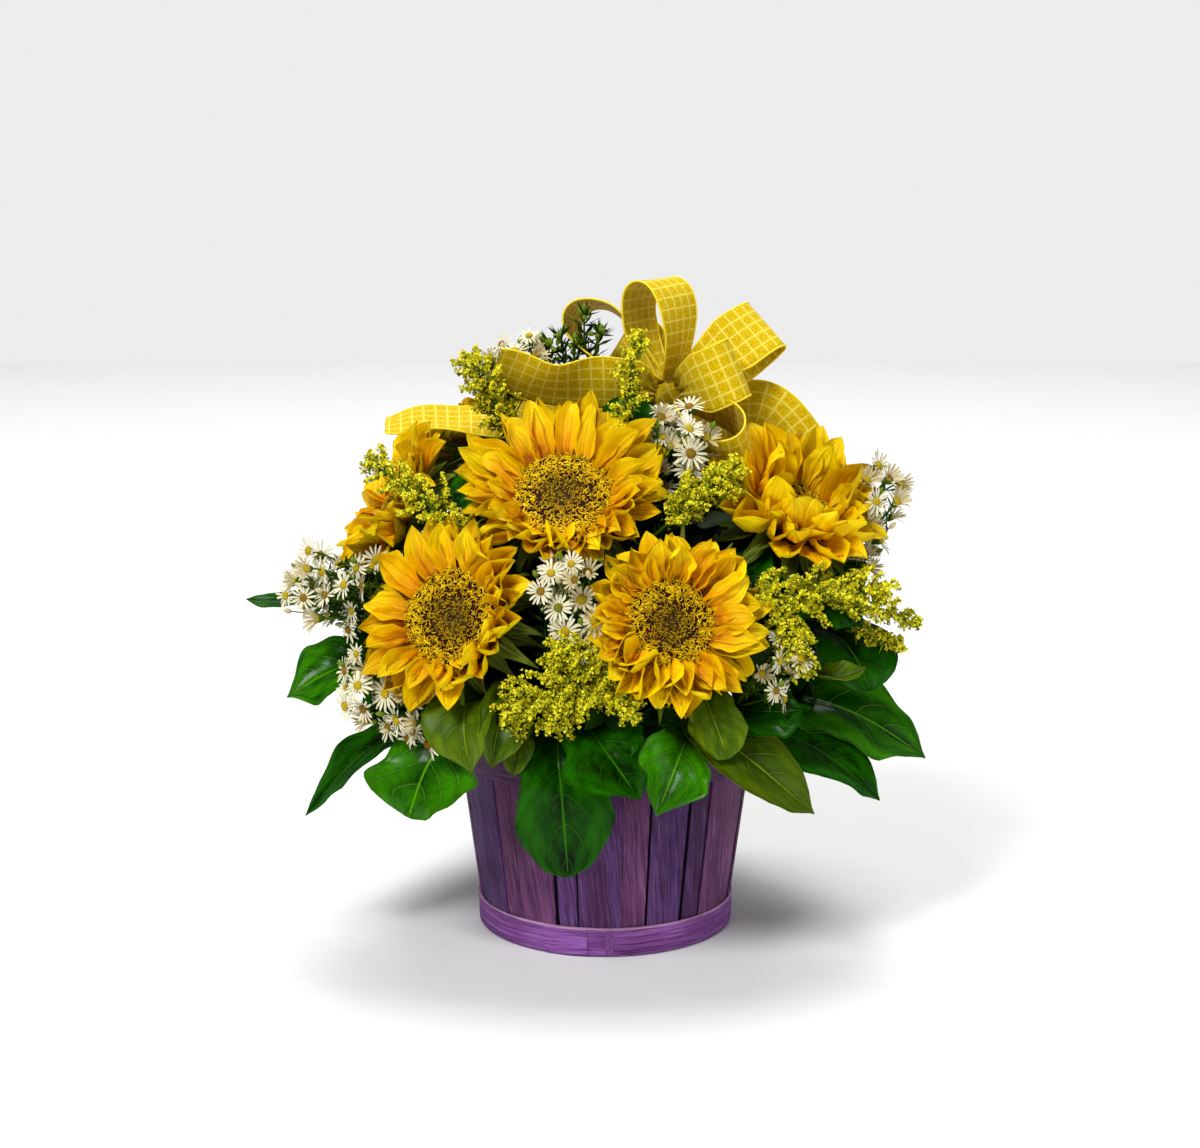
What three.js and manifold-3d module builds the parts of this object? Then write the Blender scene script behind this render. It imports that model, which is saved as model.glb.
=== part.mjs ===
// A sunflower arrangement in a round splint basket, in millimetres, +Z up.
// The origin is the middle of the basket's underside, and the front of the arrangement faces -Y.
// Stems stand on a block of wet foam. They carry the blooms, and sprays of aster, goldenrod and
// broad leaves fill the crown between them. A wired ribbon bow sits at the top.
import * as THREE from "three";
import { mergeVertices } from "three/addons/utils/BufferGeometryUtils.js";
import Module from "manifold-3d";

const wasm = await Module();
wasm.setup();

// Basket.
const BASKET_HEIGHT = 137;
const WALL_FOOT_RADIUS = 82.4; // outside of the staves at the table
const WALL_FLARE = 0.13; // radius gained per millimetre of height
const STAVE_PAIRS = 13; // a broad outer stave beside a strip of the inner one behind it
const OUTER_STAVE_SHARE = 0.7; // of each pair's arc
const STAVE_THICKNESS = 1.7;
const FLOOR_THICKNESS = 6;
const FOOT_BAND_RADIUS = 86.5;
const FOOT_BAND_HEIGHT = 20;
const HOOP_HEIGHT = 21;
const HOOP_THICKNESS = 1.8;
const BAND_THICKNESS = 1.4;

// Foam and stems.
const FOAM_TOP = 148;
const STEM_RADIUS = 6;
const NECK_RADIUS = 4.6;
const NECK_LENGTH = 27; // from the disc down the bloom's axis to its stem

// Blooms.
const DISC_RADIUS = 30;
const RECEPTACLE_RADIUS = 35;
const BLOOM_SPOKES = 20;
const PETAL_NOTCH = 0.1; // how far the outline steps in between petals
const PETAL_LAYER = 7; // depth of the rows of petals at their tips

// Ribbon.
const RIBBON_WIDTH = 40;
const RIBBON_THICKNESS = 0.9;
const KNOT = new THREE.Vector3(43, 5, 364);
const KNOT_RADIUS = 10;
const NECK_START = KNOT_RADIUS * 1.12; // from the middle of the knot to the foot of a loop

const LEAF_THICKNESS = 1.4;
const GAP = 0.4; // left between a piece and the neighbour that cuts it

const mm = (x, y, z) => new THREE.Vector3(x, y, z);
const wallRadius = (z) => WALL_FOOT_RADIUS + WALL_FLARE * z;

// Colours and finishes by kind of material.
const finish = (color, roughness) =>
  new THREE.MeshStandardMaterial({ color, roughness, metalness: 0 });
const MATERIALS = {
  stave: finish(0x6d3f86, 0.7),
  hoop: finish(0x7a4795, 0.65),
  foam: finish(0x2c5a35, 0.95),
  stem: finish(0x5f8a35, 0.6),
  petal: finish(0xe6b800, 0.55),
  leaf: finish(0x1f6b1c, 0.35),
  aster: finish(0xe9e6d2, 0.6),
  goldenrod: finish(0xc9c81e, 0.7),
  foliage: finish(0x1d3a17, 0.7),
  ribbon: finish(0xd9bd2c, 0.5),
};

// Repeatable random numbers from 0 to 1, one stream for each seed.
function randomStream(seed) {
  let state = seed * 2654435761;
  return () => {
    state = (state + 0x6d2b79f5) | 0;
    let t = Math.imul(state ^ (state >>> 15), 1 | state);
    t = (t + Math.imul(t ^ (t >>> 7), 61 | t)) ^ t;
    return ((t ^ (t >>> 14)) >>> 0) / 4294967296;
  };
}

// ---- closed surfaces from rings of points ----

// Joins rings of equally many points into one closed skin. Each end is closed by a fan about its
// middle or, for a thin ring that runs out and back, by quads between the facing points.
function skinOfRings(rings, thin = false) {
  const sides = rings[0].length;
  const points = rings.flat();
  const faces = [];
  for (let r = 0; r + 1 < rings.length; r++)
    for (let s = 0; s < sides; s++) {
      const a = r * sides + s;
      const b = r * sides + ((s + 1) % sides);
      faces.push(a, b, b + sides, a, b + sides, a + sides);
    }
  const face = (turned, ...corners) => faces.push(...(turned ? corners : corners.reverse()));
  const fan = (ring, first, turned) => {
    const middle = points.length;
    points.push(ring.reduce((sum, p) => sum.add(p), mm(0, 0, 0)).divideScalar(sides));
    for (let s = 0; s < sides; s++)
      face(turned, middle, first + s, first + ((s + 1) % sides));
  };
  const quads = (ring, first, turned) => {
    for (let s = 0; s + 1 < sides / 2; s++) {
      const [a, b] = [first + s, first + s + 1];
      const [c, d] = [first + sides - 2 - s, first + sides - 1 - s];
      face(turned, a, b, c);
      face(turned, a, c, d);
    }
  };
  const cap = thin ? quads : fan;
  cap(rings[0], 0, false);
  cap(rings[rings.length - 1], (rings.length - 1) * sides, true);
  const geometry = new THREE.BufferGeometry().setFromPoints(points);
  geometry.setIndex(faces);
  return geometry;
}

// A closed solid for cutting and joining, turned the right way out.
function solidOf(geometry) {
  const bare = new THREE.BufferGeometry();
  bare.setAttribute("position", geometry.getAttribute("position"));
  bare.setIndex(geometry.index);
  const merged = mergeVertices(bare, 1e-4);
  const made = (triVerts) =>
    new wasm.Manifold(
      new wasm.Mesh({ numProp: 3, vertProperties: merged.attributes.position.array, triVerts }),
    );
  const solid = made(new Uint32Array(merged.index.array));
  return solid.volume() > 0 ? solid : made(new Uint32Array(merged.index.array).reverse());
}

function geometryOf(solid) {
  const mesh = solid.getMesh();
  const geometry = new THREE.BufferGeometry();
  geometry.setAttribute("position", new THREE.BufferAttribute(mesh.vertProperties, 3));
  geometry.setIndex(new THREE.BufferAttribute(mesh.triVerts, 1));
  return geometry;
}

// ---- shapes: each returns a function that makes the solid, grown by so many millimetres ----

// Turned about +Z from [radius, height] points that begin and end on the axis or form a ring.
const turned = (profile, segments) => () =>
  solidOf(new THREE.LatheGeometry(profile.map(([r, z]) => new THREE.Vector2(r, z)), segments)
    .rotateX(Math.PI / 2));

// A tapering limb of the radii given from its first to its last point.
const limb = (curve, radii, steps, sides) => (grow) => {
  const frames = curve.computeFrenetFrames(steps);
  const rings = [];
  for (let i = 0; i <= steps; i++) {
    const at = curve.getPointAt(i / steps);
    const radius = THREE.MathUtils.lerp(radii[0], radii[1], i / steps) + grow;
    rings.push(Array.from({ length: sides }, (_, s) => {
      const turn = (2 * Math.PI * s) / sides;
      return at.clone()
        .addScaledVector(frames.normals[i], radius * Math.cos(turn))
        .addScaledVector(frames.binormals[i], radius * Math.sin(turn));
    }));
  }
  return solidOf(skinOfRings(rings));
};

// An uneven mass round a spine, with round ends, fuller or slimmer towards its tip.
const mass = (from, to, radius, seed, { rings = 5, sides = 8, tip = 1, rough = 0.14 } = {}) =>
  (grow) => {
    const random = randomStream(seed);
    const along = to.clone().sub(from);
    const reach = along.length() + radius * (1 + tip) * 0.5;
    const axis = along.clone().normalize();
    const start = from.clone().addScaledVector(axis, -radius * 0.5);
    const side = new THREE.Vector3(0, 0, 1).cross(axis);
    if (side.length() < 0.2) side.set(1, 0, 0).cross(axis);
    side.normalize();
    const up = axis.clone().cross(side);
    const skin = [];
    for (let i = 0; i <= rings; i++) {
      const t = 0.04 + (0.92 * i) / rings;
      const belly = Math.sin(Math.PI * t) ** 0.55 * THREE.MathUtils.lerp(1, tip, t);
      const at = start.clone().addScaledVector(axis, reach * t);
      skin.push(Array.from({ length: sides }, (_, s) => {
        const turn = (2 * Math.PI * (s + 0.5 * (i % 2))) / sides;
        const r = radius * belly * (1 - rough + 2 * rough * random()) + grow;
        return at.clone()
          .addScaledVector(side, r * Math.cos(turn))
          .addScaledVector(up, r * Math.sin(turn));
      }));
    }
    return solidOf(skinOfRings(skin));
  };

// A bloom: receptacle, cupped rows of petals with a notched outline, and a domed disc.
const bloom = ({ at, facing, reach, cup, seed }) => (grow) => {
  const random = randomStream(seed);
  const turnTo = new THREE.Quaternion().setFromUnitVectors(mm(0, 0, 1), facing);
  const rise = (r) => Math.tan(THREE.MathUtils.degToRad(cup)) * (r - DISC_RADIUS);
  const outline = Array.from({ length: BLOOM_SPOKES }, (_, s) =>
    reach * (1 - PETAL_NOTCH * (s % 2) - 0.06 * random()));
  const ring = (radiusAt, heightAt) => outline.map((tip, s) => {
    const turn = (2 * Math.PI * s) / BLOOM_SPOKES;
    const r = radiusAt(tip) + grow;
    return mm(r * Math.cos(turn), r * Math.sin(turn), heightAt(tip))
      .applyQuaternion(turnTo).add(at);
  });
  return solidOf(skinOfRings([
    ring(() => NECK_RADIUS + 2, () => -NECK_LENGTH - grow),
    ring(() => RECEPTACLE_RADIUS, () => -NECK_LENGTH * 0.26 - grow),
    ring((tip) => tip, (tip) => rise(tip) - PETAL_LAYER * 0.5 - grow),
    ring((tip) => tip * 0.97, (tip) => rise(tip) + PETAL_LAYER * 0.5 + grow),
    ring(() => DISC_RADIUS, () => 3 + grow),
    ring(() => DISC_RADIUS * 0.5, () => 6 + grow),
  ]));
};

// A leaf: a folded blade along a bent midrib, widest where `belly` says, pointed at both ends.
const blade = ({ base, bend, tip, face, width, fold = 0.25, belly = 0.45 }) => (grow) => {
  const midrib = new THREE.QuadraticBezierCurve3(base, bend, tip);
  const steps = 7;
  const rings = [];
  for (let i = 0; i <= steps; i++) {
    const t = i / steps;
    const along = midrib.getTangent(t);
    const across = along.clone().cross(face).normalize();
    const normal = across.clone().cross(along).normalize();
    const peak = Math.log(0.5) / Math.log(belly);
    const half = 0.5 * width * Math.max(0.07, Math.sin(Math.PI * t ** peak) ** 0.8) + grow;
    const thick = 0.5 * LEAF_THICKNESS + grow;
    const at = midrib.getPoint(t);
    const corner = (side, level) => at.clone()
      .addScaledVector(across, side * half)
      .addScaledVector(normal, Math.abs(side) * half * fold + level * thick);
    rings.push([corner(-1, -1), corner(0, -1), corner(1, -1),
      corner(1, 1), corner(0, 1), corner(-1, 1)]);
  }
  return solidOf(skinOfRings(rings, true));
};

// Several leaves that overlap as a collar over the rim, between two bearings in degrees.
const leafSkirt = ({ start, end, inner, outer, leaves }) => (grow) => {
  const steps = leaves * 4;
  const rings = [];
  for (let i = 0; i <= steps; i++) {
    const turn = THREE.MathUtils.degToRad(THREE.MathUtils.lerp(start, end, i / steps));
    const scallop = 0.64 + 0.36 * Math.abs(Math.sin((Math.PI * leaves * i) / steps));
    const point = (share, level) => {
      const r = THREE.MathUtils.lerp(inner.radius, outer.radius * scallop, share);
      const z = THREE.MathUtils.lerp(inner.height, outer.height, share ** 1.6);
      return mm(r * Math.cos(turn), r * Math.sin(turn), z + level * (LEAF_THICKNESS + grow));
    };
    rings.push([point(0, -1), point(0.5, -1), point(1, -1), point(1, 1), point(0.5, 1), point(0, 1)]);
  }
  return solidOf(skinOfRings(rings, true));
};

// A flat strip along points, each with the direction of its width and its share of the width.
const strip = (stations) => (grow) => {
  const rings = stations.map(({ at, across, share }, i) => {
    const next = stations[Math.min(i + 1, stations.length - 1)].at;
    const last = stations[Math.max(i - 1, 0)].at;
    const normal = next.clone().sub(last).cross(across).normalize();
    const half = 0.5 * RIBBON_WIDTH * share + grow;
    const thick = 0.5 * RIBBON_THICKNESS + grow;
    const corner = (side, level) =>
      at.clone().addScaledVector(across, side * half).addScaledVector(normal, level * thick);
    return [corner(-1, -1), corner(1, -1), corner(1, 1), corner(-1, 1)];
  });
  return solidOf(skinOfRings(rings, true));
};

// ---- the ribbon's routes ----

// How far the gathers at the knot have opened out, at a share t of a loop or tail.
const gather = (t) => 0.2 + 0.8 * Math.min(1, t * 3.6) ** 0.9;

// One loop: out from the knot along `reach`, round, and back, rolled about the `axis` direction.
function bowLoop({ reach, axis, length, belly }) {
  const out = reach.clone().normalize();
  const across = axis.clone().addScaledVector(out, -axis.dot(out)).normalize();
  const side = across.clone().cross(out);
  const steps = 12;
  return strip(Array.from({ length: steps + 1 }, (_, i) => {
    const t = i / steps;
    const turn = 2 * Math.PI * t;
    const swell = belly * Math.sin(turn) * Math.sin(turn / 2) ** 0.8;
    return {
      at: KNOT.clone()
        .addScaledVector(out, THREE.MathUtils.lerp(NECK_START, length, (1 - Math.cos(turn)) / 2))
        .addScaledVector(side, swell + RIBBON_THICKNESS * Math.cos(turn / 2)),
      across,
      share: gather(Math.min(t, 1 - t)),
    };
  }));
}

// One tail: from the knot through the points given, its width turning from one axis to another.
function bowTail({ through, axes }) {
  const foot = through[0].clone().sub(KNOT).setLength(NECK_START).add(KNOT);
  const route = new THREE.CatmullRomCurve3([foot, ...through]);
  const steps = 10;
  return strip(Array.from({ length: steps + 1 }, (_, i) => {
    const t = i / steps;
    const along = route.getTangentAt(t);
    const axis = axes[0].clone().lerp(axes[1], t);
    const across = axis.addScaledVector(along, -axis.dot(along)).normalize();
    return { at: route.getPointAt(t), across, share: gather(t) };
  }));
}

// ---- the basket ----

function staves() {
  const outer = new THREE.Shape();
  const arc = (2 * Math.PI) / STAVE_PAIRS;
  const outerSteps = 3;
  const polar = (r, turn) => new THREE.Vector2(r * Math.cos(turn), r * Math.sin(turn));
  const points = [];
  for (let pair = 0; pair < STAVE_PAIRS; pair++) {
    const start = pair * arc;
    for (let i = 0; i <= outerSteps; i++)
      points.push(polar(WALL_FOOT_RADIUS, start + (arc * OUTER_STAVE_SHARE * i) / outerSteps));
    for (const share of [0, 0.5, 1])
      points.push(polar(WALL_FOOT_RADIUS - STAVE_THICKNESS,
        start + arc * (OUTER_STAVE_SHARE + (1 - OUTER_STAVE_SHARE) * share)));
  }
  outer.setFromPoints(points);
  const inside = WALL_FOOT_RADIUS - 2 * STAVE_THICKNESS;
  outer.holes.push(new THREE.Path().absarc(0, 0, inside, 0, 2 * Math.PI));
  const wall = new THREE.ExtrudeGeometry(outer,
    { depth: BASKET_HEIGHT, bevelEnabled: false, steps: 1, curveSegments: 15 });
  const place = wall.getAttribute("position");
  for (let i = 0; i < place.count; i++) {
    const flare = wallRadius(place.getZ(i)) / WALL_FOOT_RADIUS;
    place.setXY(i, place.getX(i) * flare, place.getY(i) * flare);
  }
  wall.deleteAttribute("normal");
  wall.deleteAttribute("uv");
  return () => solidOf(mergeVertices(wall, 1e-3));
}

const RIM_SEGMENTS = 36;
const wallInside = (z) => wallRadius(z) - 2 * STAVE_THICKNESS - 0.8;
const hoopInside = (z) => wallRadius(z) + 0.5;
const hoopFoot = BASKET_HEIGHT - HOOP_HEIGHT;
const bandInside = FOOT_BAND_RADIUS - BAND_THICKNESS;

const basketPieces = [
  ["basket_floor", "stave", turned([
    [0, 0], [wallInside(0), 0], [wallInside(FLOOR_THICKNESS), FLOOR_THICKNESS], [0, FLOOR_THICKNESS],
  ], 28)],
  ["basket_staves", "stave", staves()],
  ["basket_rim_hoop", "hoop", turned([
    [hoopInside(hoopFoot), hoopFoot],
    [hoopInside(hoopFoot) + HOOP_THICKNESS, hoopFoot],
    [hoopInside(BASKET_HEIGHT) + HOOP_THICKNESS, BASKET_HEIGHT + 1],
    [hoopInside(BASKET_HEIGHT), BASKET_HEIGHT + 1],
    [hoopInside(hoopFoot), hoopFoot],
  ], RIM_SEGMENTS)],
  ["basket_foot_band", "hoop", turned([
    [bandInside, 0], [FOOT_BAND_RADIUS - 0.5, 0], [FOOT_BAND_RADIUS, FOOT_BAND_HEIGHT],
    [bandInside + 0.2, FOOT_BAND_HEIGHT], [bandInside, 0],
  ], RIM_SEGMENTS)],
  ["floral_foam", "foam", turned([
    [0, FLOOR_THICKNESS + GAP], [wallInside(FLOOR_THICKNESS), FLOOR_THICKNESS + GAP],
    [wallInside(BASKET_HEIGHT) - 4, BASKET_HEIGHT - 4], [wallInside(BASKET_HEIGHT) - 18, FOAM_TOP],
    [0, FOAM_TOP],
  ], 28)],
];

// ---- the plants ----

// Blooms: the middle of the disc, the way it faces, the reach of its petals and how far they cup.
const BLOOMS = {
  top: { at: mm(-28, -78, 311), facing: mm(-0.02, -0.7, 0.7), reach: 66, cup: 18 },
  left: { at: mm(-97, -113, 238), facing: mm(-0.38, -0.82, 0.42), reach: 64, cup: 26 },
  centre: { at: mm(42, -133, 241), facing: mm(0.14, -0.92, 0.36), reach: 60, cup: 26 },
  right: { at: mm(125, -52, 301), facing: mm(0.26, -0.52, 0.81), reach: 62, cup: 32 },
  far_left: { at: mm(-142, -12, 290), facing: mm(-0.84, -0.22, 0.5), reach: 54, cup: 40 },
  back_left: { at: mm(-84, 98, 310), facing: mm(-0.45, 0.66, 0.6), reach: 60, cup: 24 },
  back_right: { at: mm(98, 104, 272), facing: mm(0.6, 0.66, 0.45), reach: 62, cup: 26 },
  back: { at: mm(-18, 142, 232), facing: mm(-0.12, 0.92, 0.36), reach: 62, cup: 26 },
};
const STEM_SPREAD = 0.34; // a stem's foot stands this share of the way out to its bloom

function bloomPieces() {
  return Object.entries(BLOOMS).flatMap(([name, { at, facing, reach, cup }], i) => {
    facing.normalize();
    const foot = mm(at.x * STEM_SPREAD, at.y * STEM_SPREAD, FOAM_TOP + GAP);
    const neck = at.clone().addScaledVector(facing, -NECK_LENGTH - GAP);
    const rise = foot.distanceTo(neck) * 0.4;
    const route = new THREE.CubicBezierCurve3(
      foot, foot.clone().add(mm(0, 0, rise)), neck.clone().addScaledVector(facing, -rise), neck);
    return [
      [`sunflower_stem_${name}`, "stem", limb(route, [STEM_RADIUS, NECK_RADIUS], 5, 6)],
      [`sunflower_head_${name}`, "petal", bloom({ at, facing, reach, cup, seed: 11 + i })],
    ];
  });
}

const bowPieces = [
  ["bow_knot", "ribbon", mass(
    KNOT.clone().add(mm(0, 0, -4)), KNOT.clone().add(mm(0, 0, 4)), KNOT_RADIUS,
    5, { rings: 4, sides: 8, rough: 0.04 })],
  ["bow_loop_top", "ribbon", bowLoop(
    { reach: mm(-0.13, 0.07, 0.99), axis: mm(-0.68, -0.73, 0), length: 78, belly: 19 })],
  ["bow_loop_left", "ribbon", bowLoop(
    { reach: mm(-0.78, 0.19, 0.66), axis: mm(0.1, -0.93, 0.35), length: 88, belly: 22 })],
  ["bow_loop_front", "ribbon", bowLoop(
    { reach: mm(0.66, -0.6, 0.36), axis: mm(0.58, -0.28, -0.7), length: 62, belly: 17 })],
  ["bow_loop_upper_right", "ribbon", bowLoop(
    { reach: mm(0.75, 0.3, 0.55), axis: mm(0.6, -0.36, -0.7), length: 88, belly: 16 })],
  ["bow_loop_low_right", "ribbon", bowLoop(
    { reach: mm(0.66, -0.56, -0.56), axis: mm(-0.02, 0.41, -0.91), length: 66, belly: 16 })],
  ["bow_tail_left", "ribbon", bowTail({
    through: [mm(10, -8, 362), mm(-30, -4, 370), mm(-68, -8, 372)],
    axes: [mm(0, -0.3, 0.95), mm(0.1, -0.5, 0.86)] })],
  ["bow_tail_far_left", "ribbon", bowTail({
    through: [mm(10, 24, 352), mm(-50, 28, 342), mm(-100, 25, 346), mm(-150, 22, 342)],
    axes: [mm(0, 0.3, 0.95), mm(-0.1, 0.75, 0.66)] })],
  ["bow_tail_right", "ribbon", bowTail({
    through: [mm(80, 26, 352), mm(114, 20, 346), mm(138, 10, 326), mm(150, 2, 300)],
    axes: [mm(0, 0.3, 0.95), mm(0.45, 0.2, 0.8)] })],
];

// Broad leaves round the rim: foot and tip of the midrib, where it bends, and the way it faces.
const LEAVES = {
  front: { base: mm(-32, -104, 160), bend: mm(-30, -142, 158), tip: mm(-24, -136, 72),
    face: mm(0.1, -0.9, 0.4), width: 68, belly: 0.62 },
  front_right: { base: mm(-14, -104, 166), bend: mm(12, -150, 168), tip: mm(38, -158, 128),
    face: mm(0, -0.35, 0.9), width: 50 },
  front_tip: { base: mm(52, -100, 158), bend: mm(44, -146, 162), tip: mm(34, -150, 118),
    face: mm(0.15, -0.7, 0.7), width: 40 },
  long_right: { base: mm(66, -96, 168), bend: mm(94, -138, 168), tip: mm(136, -128, 108),
    face: mm(0.35, -0.55, 0.75), width: 50 },
  low_right: { base: mm(96, -70, 154), bend: mm(140, -94, 152), tip: mm(182, -92, 108),
    face: mm(0.4, -0.45, 0.8), width: 54 },
  right: { base: mm(112, -40, 166), bend: mm(160, -62, 172), tip: mm(214, -54, 126),
    face: mm(0.3, -0.5, 0.8), width: 58 },
  upper_right: { base: mm(130, -28, 206), bend: mm(168, -60, 226), tip: mm(178, -76, 184),
    face: mm(0.5, -0.5, 0.7), width: 52 },
  low_left: { base: mm(-80, -84, 154), bend: mm(-116, -122, 160), tip: mm(-128, -126, 106),
    face: mm(-0.45, -0.6, 0.65), width: 60, belly: 0.55 },
  long_left: { base: mm(-106, -52, 158), bend: mm(-160, -64, 142), tip: mm(-200, -68, 92),
    face: mm(-0.3, 0.35, 0.9), width: 34 },
  left: { base: mm(-122, -34, 190), bend: mm(-168, -58, 204), tip: mm(-212, -62, 174),
    face: mm(-0.35, -0.45, 0.8), width: 42 },
  far_left: { base: mm(-128, -24, 236), bend: mm(-196, -52, 232), tip: mm(-238, -50, 236),
    face: mm(-0.1, -0.4, 0.9), width: 26 },
  pale_front_left: { base: mm(-52, -96, 164), bend: mm(-82, -146, 188), tip: mm(-84, -152, 138),
    face: mm(-0.3, -0.75, 0.55), width: 46, fold: 0.4 },
};
const SKIRTS = {
  back_right: { start: 4, end: 84, leaves: 3 },
  back_left: { start: 96, end: 176, leaves: 3 },
};
const SKIRT_INNER = { radius: 96, height: 158 };
const SKIRT_OUTER = { radius: 190, height: 112 };

const leafPieces = [
  ...Object.entries(LEAVES).map(([name, leaf]) => [`leaf_${name}`, "leaf", blade(leaf)]),
  ...Object.entries(SKIRTS).map(([name, skirt]) =>
    [`leaf_skirt_${name}`, "leaf", leafSkirt({ ...skirt, inner: SKIRT_INNER, outer: SKIRT_OUTER })]),
];

// Sprays: the inner end and the tip of each, its radius, and how much slimmer its tip is.
const ASTERS = {
  top_left: { from: mm(-94, -2, 366), to: mm(-44, 14, 398), radius: 19 },
  top: { from: mm(44, -46, 330), to: mm(54, -66, 368), radius: 26 },
  centre: { from: mm(-12, -128, 216), to: mm(-24, -132, 268), radius: 25 },
  left: { from: mm(-168, -62, 242), to: mm(-200, -72, 250), radius: 29 },
  low_left: { from: mm(-112, -112, 168), to: mm(-166, -98, 184), radius: 23 },
  right: { from: mm(178, -26, 252), to: mm(192, -30, 306), radius: 20 },
  low_right: { from: mm(112, -120, 186), to: mm(124, -116, 216), radius: 18 },
  back: { from: mm(68, 138, 190), to: mm(56, 150, 236), radius: 24 },
};
const GOLDENRODS = {
  top_left: { from: mm(-70, -16, 352), to: mm(-86, -26, 386), radius: 19, tip: 0.9 },
  top: { from: mm(16, -52, 348), to: mm(20, -40, 402), radius: 20, tip: 0.5 },
  left: { from: mm(-92, -88, 288), to: mm(-150, -62, 326), radius: 19, tip: 0.7 },
  middle: { from: mm(48, -92, 302), to: mm(80, -82, 324), radius: 19, tip: 0.8 },
  low: { from: mm(2, -140, 204), to: mm(-54, -150, 184), radius: 25, tip: 0.8 },
  right: { from: mm(118, -112, 240), to: mm(212, -54, 212), radius: 26, tip: 0.42 },
  back: { from: mm(-92, 112, 236), to: mm(-146, 100, 262), radius: 22, tip: 0.7 },
};
const sprays = (kind, list, seed) =>
  Object.entries(list).map(([name, { from, to, radius, tip }], i) =>
    [`${kind}_${name}`, kind, mass(from, to, radius, seed + i, { tip })]);

// The dark leaves and side shoots inside the crown, between the foam and the blooms.
const INNER_TOP = 336;
const INNER_REACH = { x: 142, y: 112 };
const INNER_FOOT_SHARE = 0.62; // how wide it is where it leaves the foam
function innerDome(grow) {
  const random = randomStream(71);
  const [rings, sides] = [6, 12];
  const skin = [];
  for (let i = 0; i <= rings; i++) {
    const t = i / rings;
    const swell = Math.sin(Math.PI * (0.2 + 0.74 * t)) ** 0.8;
    const height = THREE.MathUtils.lerp(FOAM_TOP + GAP, INNER_TOP, t);
    const share = i === 0 ? INNER_FOOT_SHARE : swell;
    skin.push(Array.from({ length: sides }, (_, s) => {
      const turn = (2 * Math.PI * (s + 0.5 * (i % 2))) / sides;
      const uneven = i === 0 ? 1 : 0.92 + 0.16 * random();
      return mm(
        (INNER_REACH.x * share * uneven + grow) * Math.cos(turn),
        (INNER_REACH.y * share * uneven + grow) * Math.sin(turn),
        height,
      );
    }));
  }
  return solidOf(skinOfRings(skin));
}
const innerFoliage = ["inner_foliage", "foliage", innerDome];

// ---- the assembly ----

// Every piece in the order in which it keeps its shape: a later one is cut round the earlier ones.
const PIECES = [
  ...basketPieces, ...bloomPieces(), ...bowPieces, ...leafPieces,
  ...sprays("aster", ASTERS, 31), ...sprays("goldenrod", GOLDENRODS, 51), innerFoliage,
];
const FIXED = new Set(basketPieces.map(([name]) => name));

const overlaps = (a, b) => {
  const [one, two] = [a.boundingBox(), b.boundingBox()];
  return [0, 1, 2].every((k) => one.min[k] < two.max[k] && two.min[k] < one.max[k]);
};

// The solid with its earlier neighbours cut away, as its largest single body.
function clearOf(solid, earlier) {
  const near = earlier.filter((other) => overlaps(solid, other));
  const left = near.reduce((rest, other) => rest.subtract(other), solid);
  return left.decompose().sort((a, b) => b.volume() - a.volume())[0];
}

const arrangement = new THREE.Group();
const earlier = [];
for (const [name, material, shape] of PIECES) {
  const solid = FIXED.has(name) ? shape(0) : clearOf(shape(0), earlier);
  const mesh = new THREE.Mesh(geometryOf(solid), MATERIALS[material]);
  mesh.name = name;
  arrangement.add(mesh);
  earlier.push(shape(GAP));
}

export default arrangement;
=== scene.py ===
# A sunflower arrangement in a round splint basket: eight cut sunflowers, sprays of white aster and
# goldenrod, broad glossy leaves round the rim, and a checked ribbon bow with wired edges.
# Plants and ribbon are worked out in millimetres and made into meshes in metres.
import math

import bpy
import numpy as np
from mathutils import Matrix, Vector


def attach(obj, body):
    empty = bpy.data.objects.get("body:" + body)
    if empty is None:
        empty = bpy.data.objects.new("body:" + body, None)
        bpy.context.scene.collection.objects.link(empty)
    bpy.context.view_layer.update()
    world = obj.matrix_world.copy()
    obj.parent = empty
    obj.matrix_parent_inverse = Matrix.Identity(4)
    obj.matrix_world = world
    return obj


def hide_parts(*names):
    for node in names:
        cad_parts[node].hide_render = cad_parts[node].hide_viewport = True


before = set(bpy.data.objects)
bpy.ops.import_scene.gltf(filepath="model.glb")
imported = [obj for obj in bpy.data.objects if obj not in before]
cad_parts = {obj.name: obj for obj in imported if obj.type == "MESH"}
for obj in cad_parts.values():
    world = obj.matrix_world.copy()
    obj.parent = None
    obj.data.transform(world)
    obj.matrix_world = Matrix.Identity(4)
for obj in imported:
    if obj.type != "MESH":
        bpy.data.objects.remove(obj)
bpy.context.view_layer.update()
bpy.ops.object.select_all(action="DESELECT")

MM = 0.001
TURN = 2 * math.pi
GOLDEN_ANGLE = 2.399963
UP = np.array([0.0, 0.0, 1.0])

# The basket, in metres.
WALL_FOOT_RADIUS = 0.0824
WALL_FLARE = 0.13
BASKET_HEIGHT = 0.137
STAVE_THICKNESS = 0.0012
RIM_HOOP_FOOT, RIM_HOOP_TOP = 0.116, 0.138
FOOT_BAND_RADIUS = 0.0864
FOOT_BAND_FOOT, FOOT_BAND_TOP = 0.0002, 0.020
# The basket's grain is mapped in centimetres. Across it an offset is added, and each strip's number
# times a jump, so that no two strips share a pattern.
CM = 100
GRAIN_OFFSET = 50.0
GRAIN_JUMP = 100


# ---- camera, lights and floor ----


CAMERA_PLACE = (-0.00365, -1.730, 0.610)
ROOM_LIGHT, ROOM_SEEN = 0.17, 0.84


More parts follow.
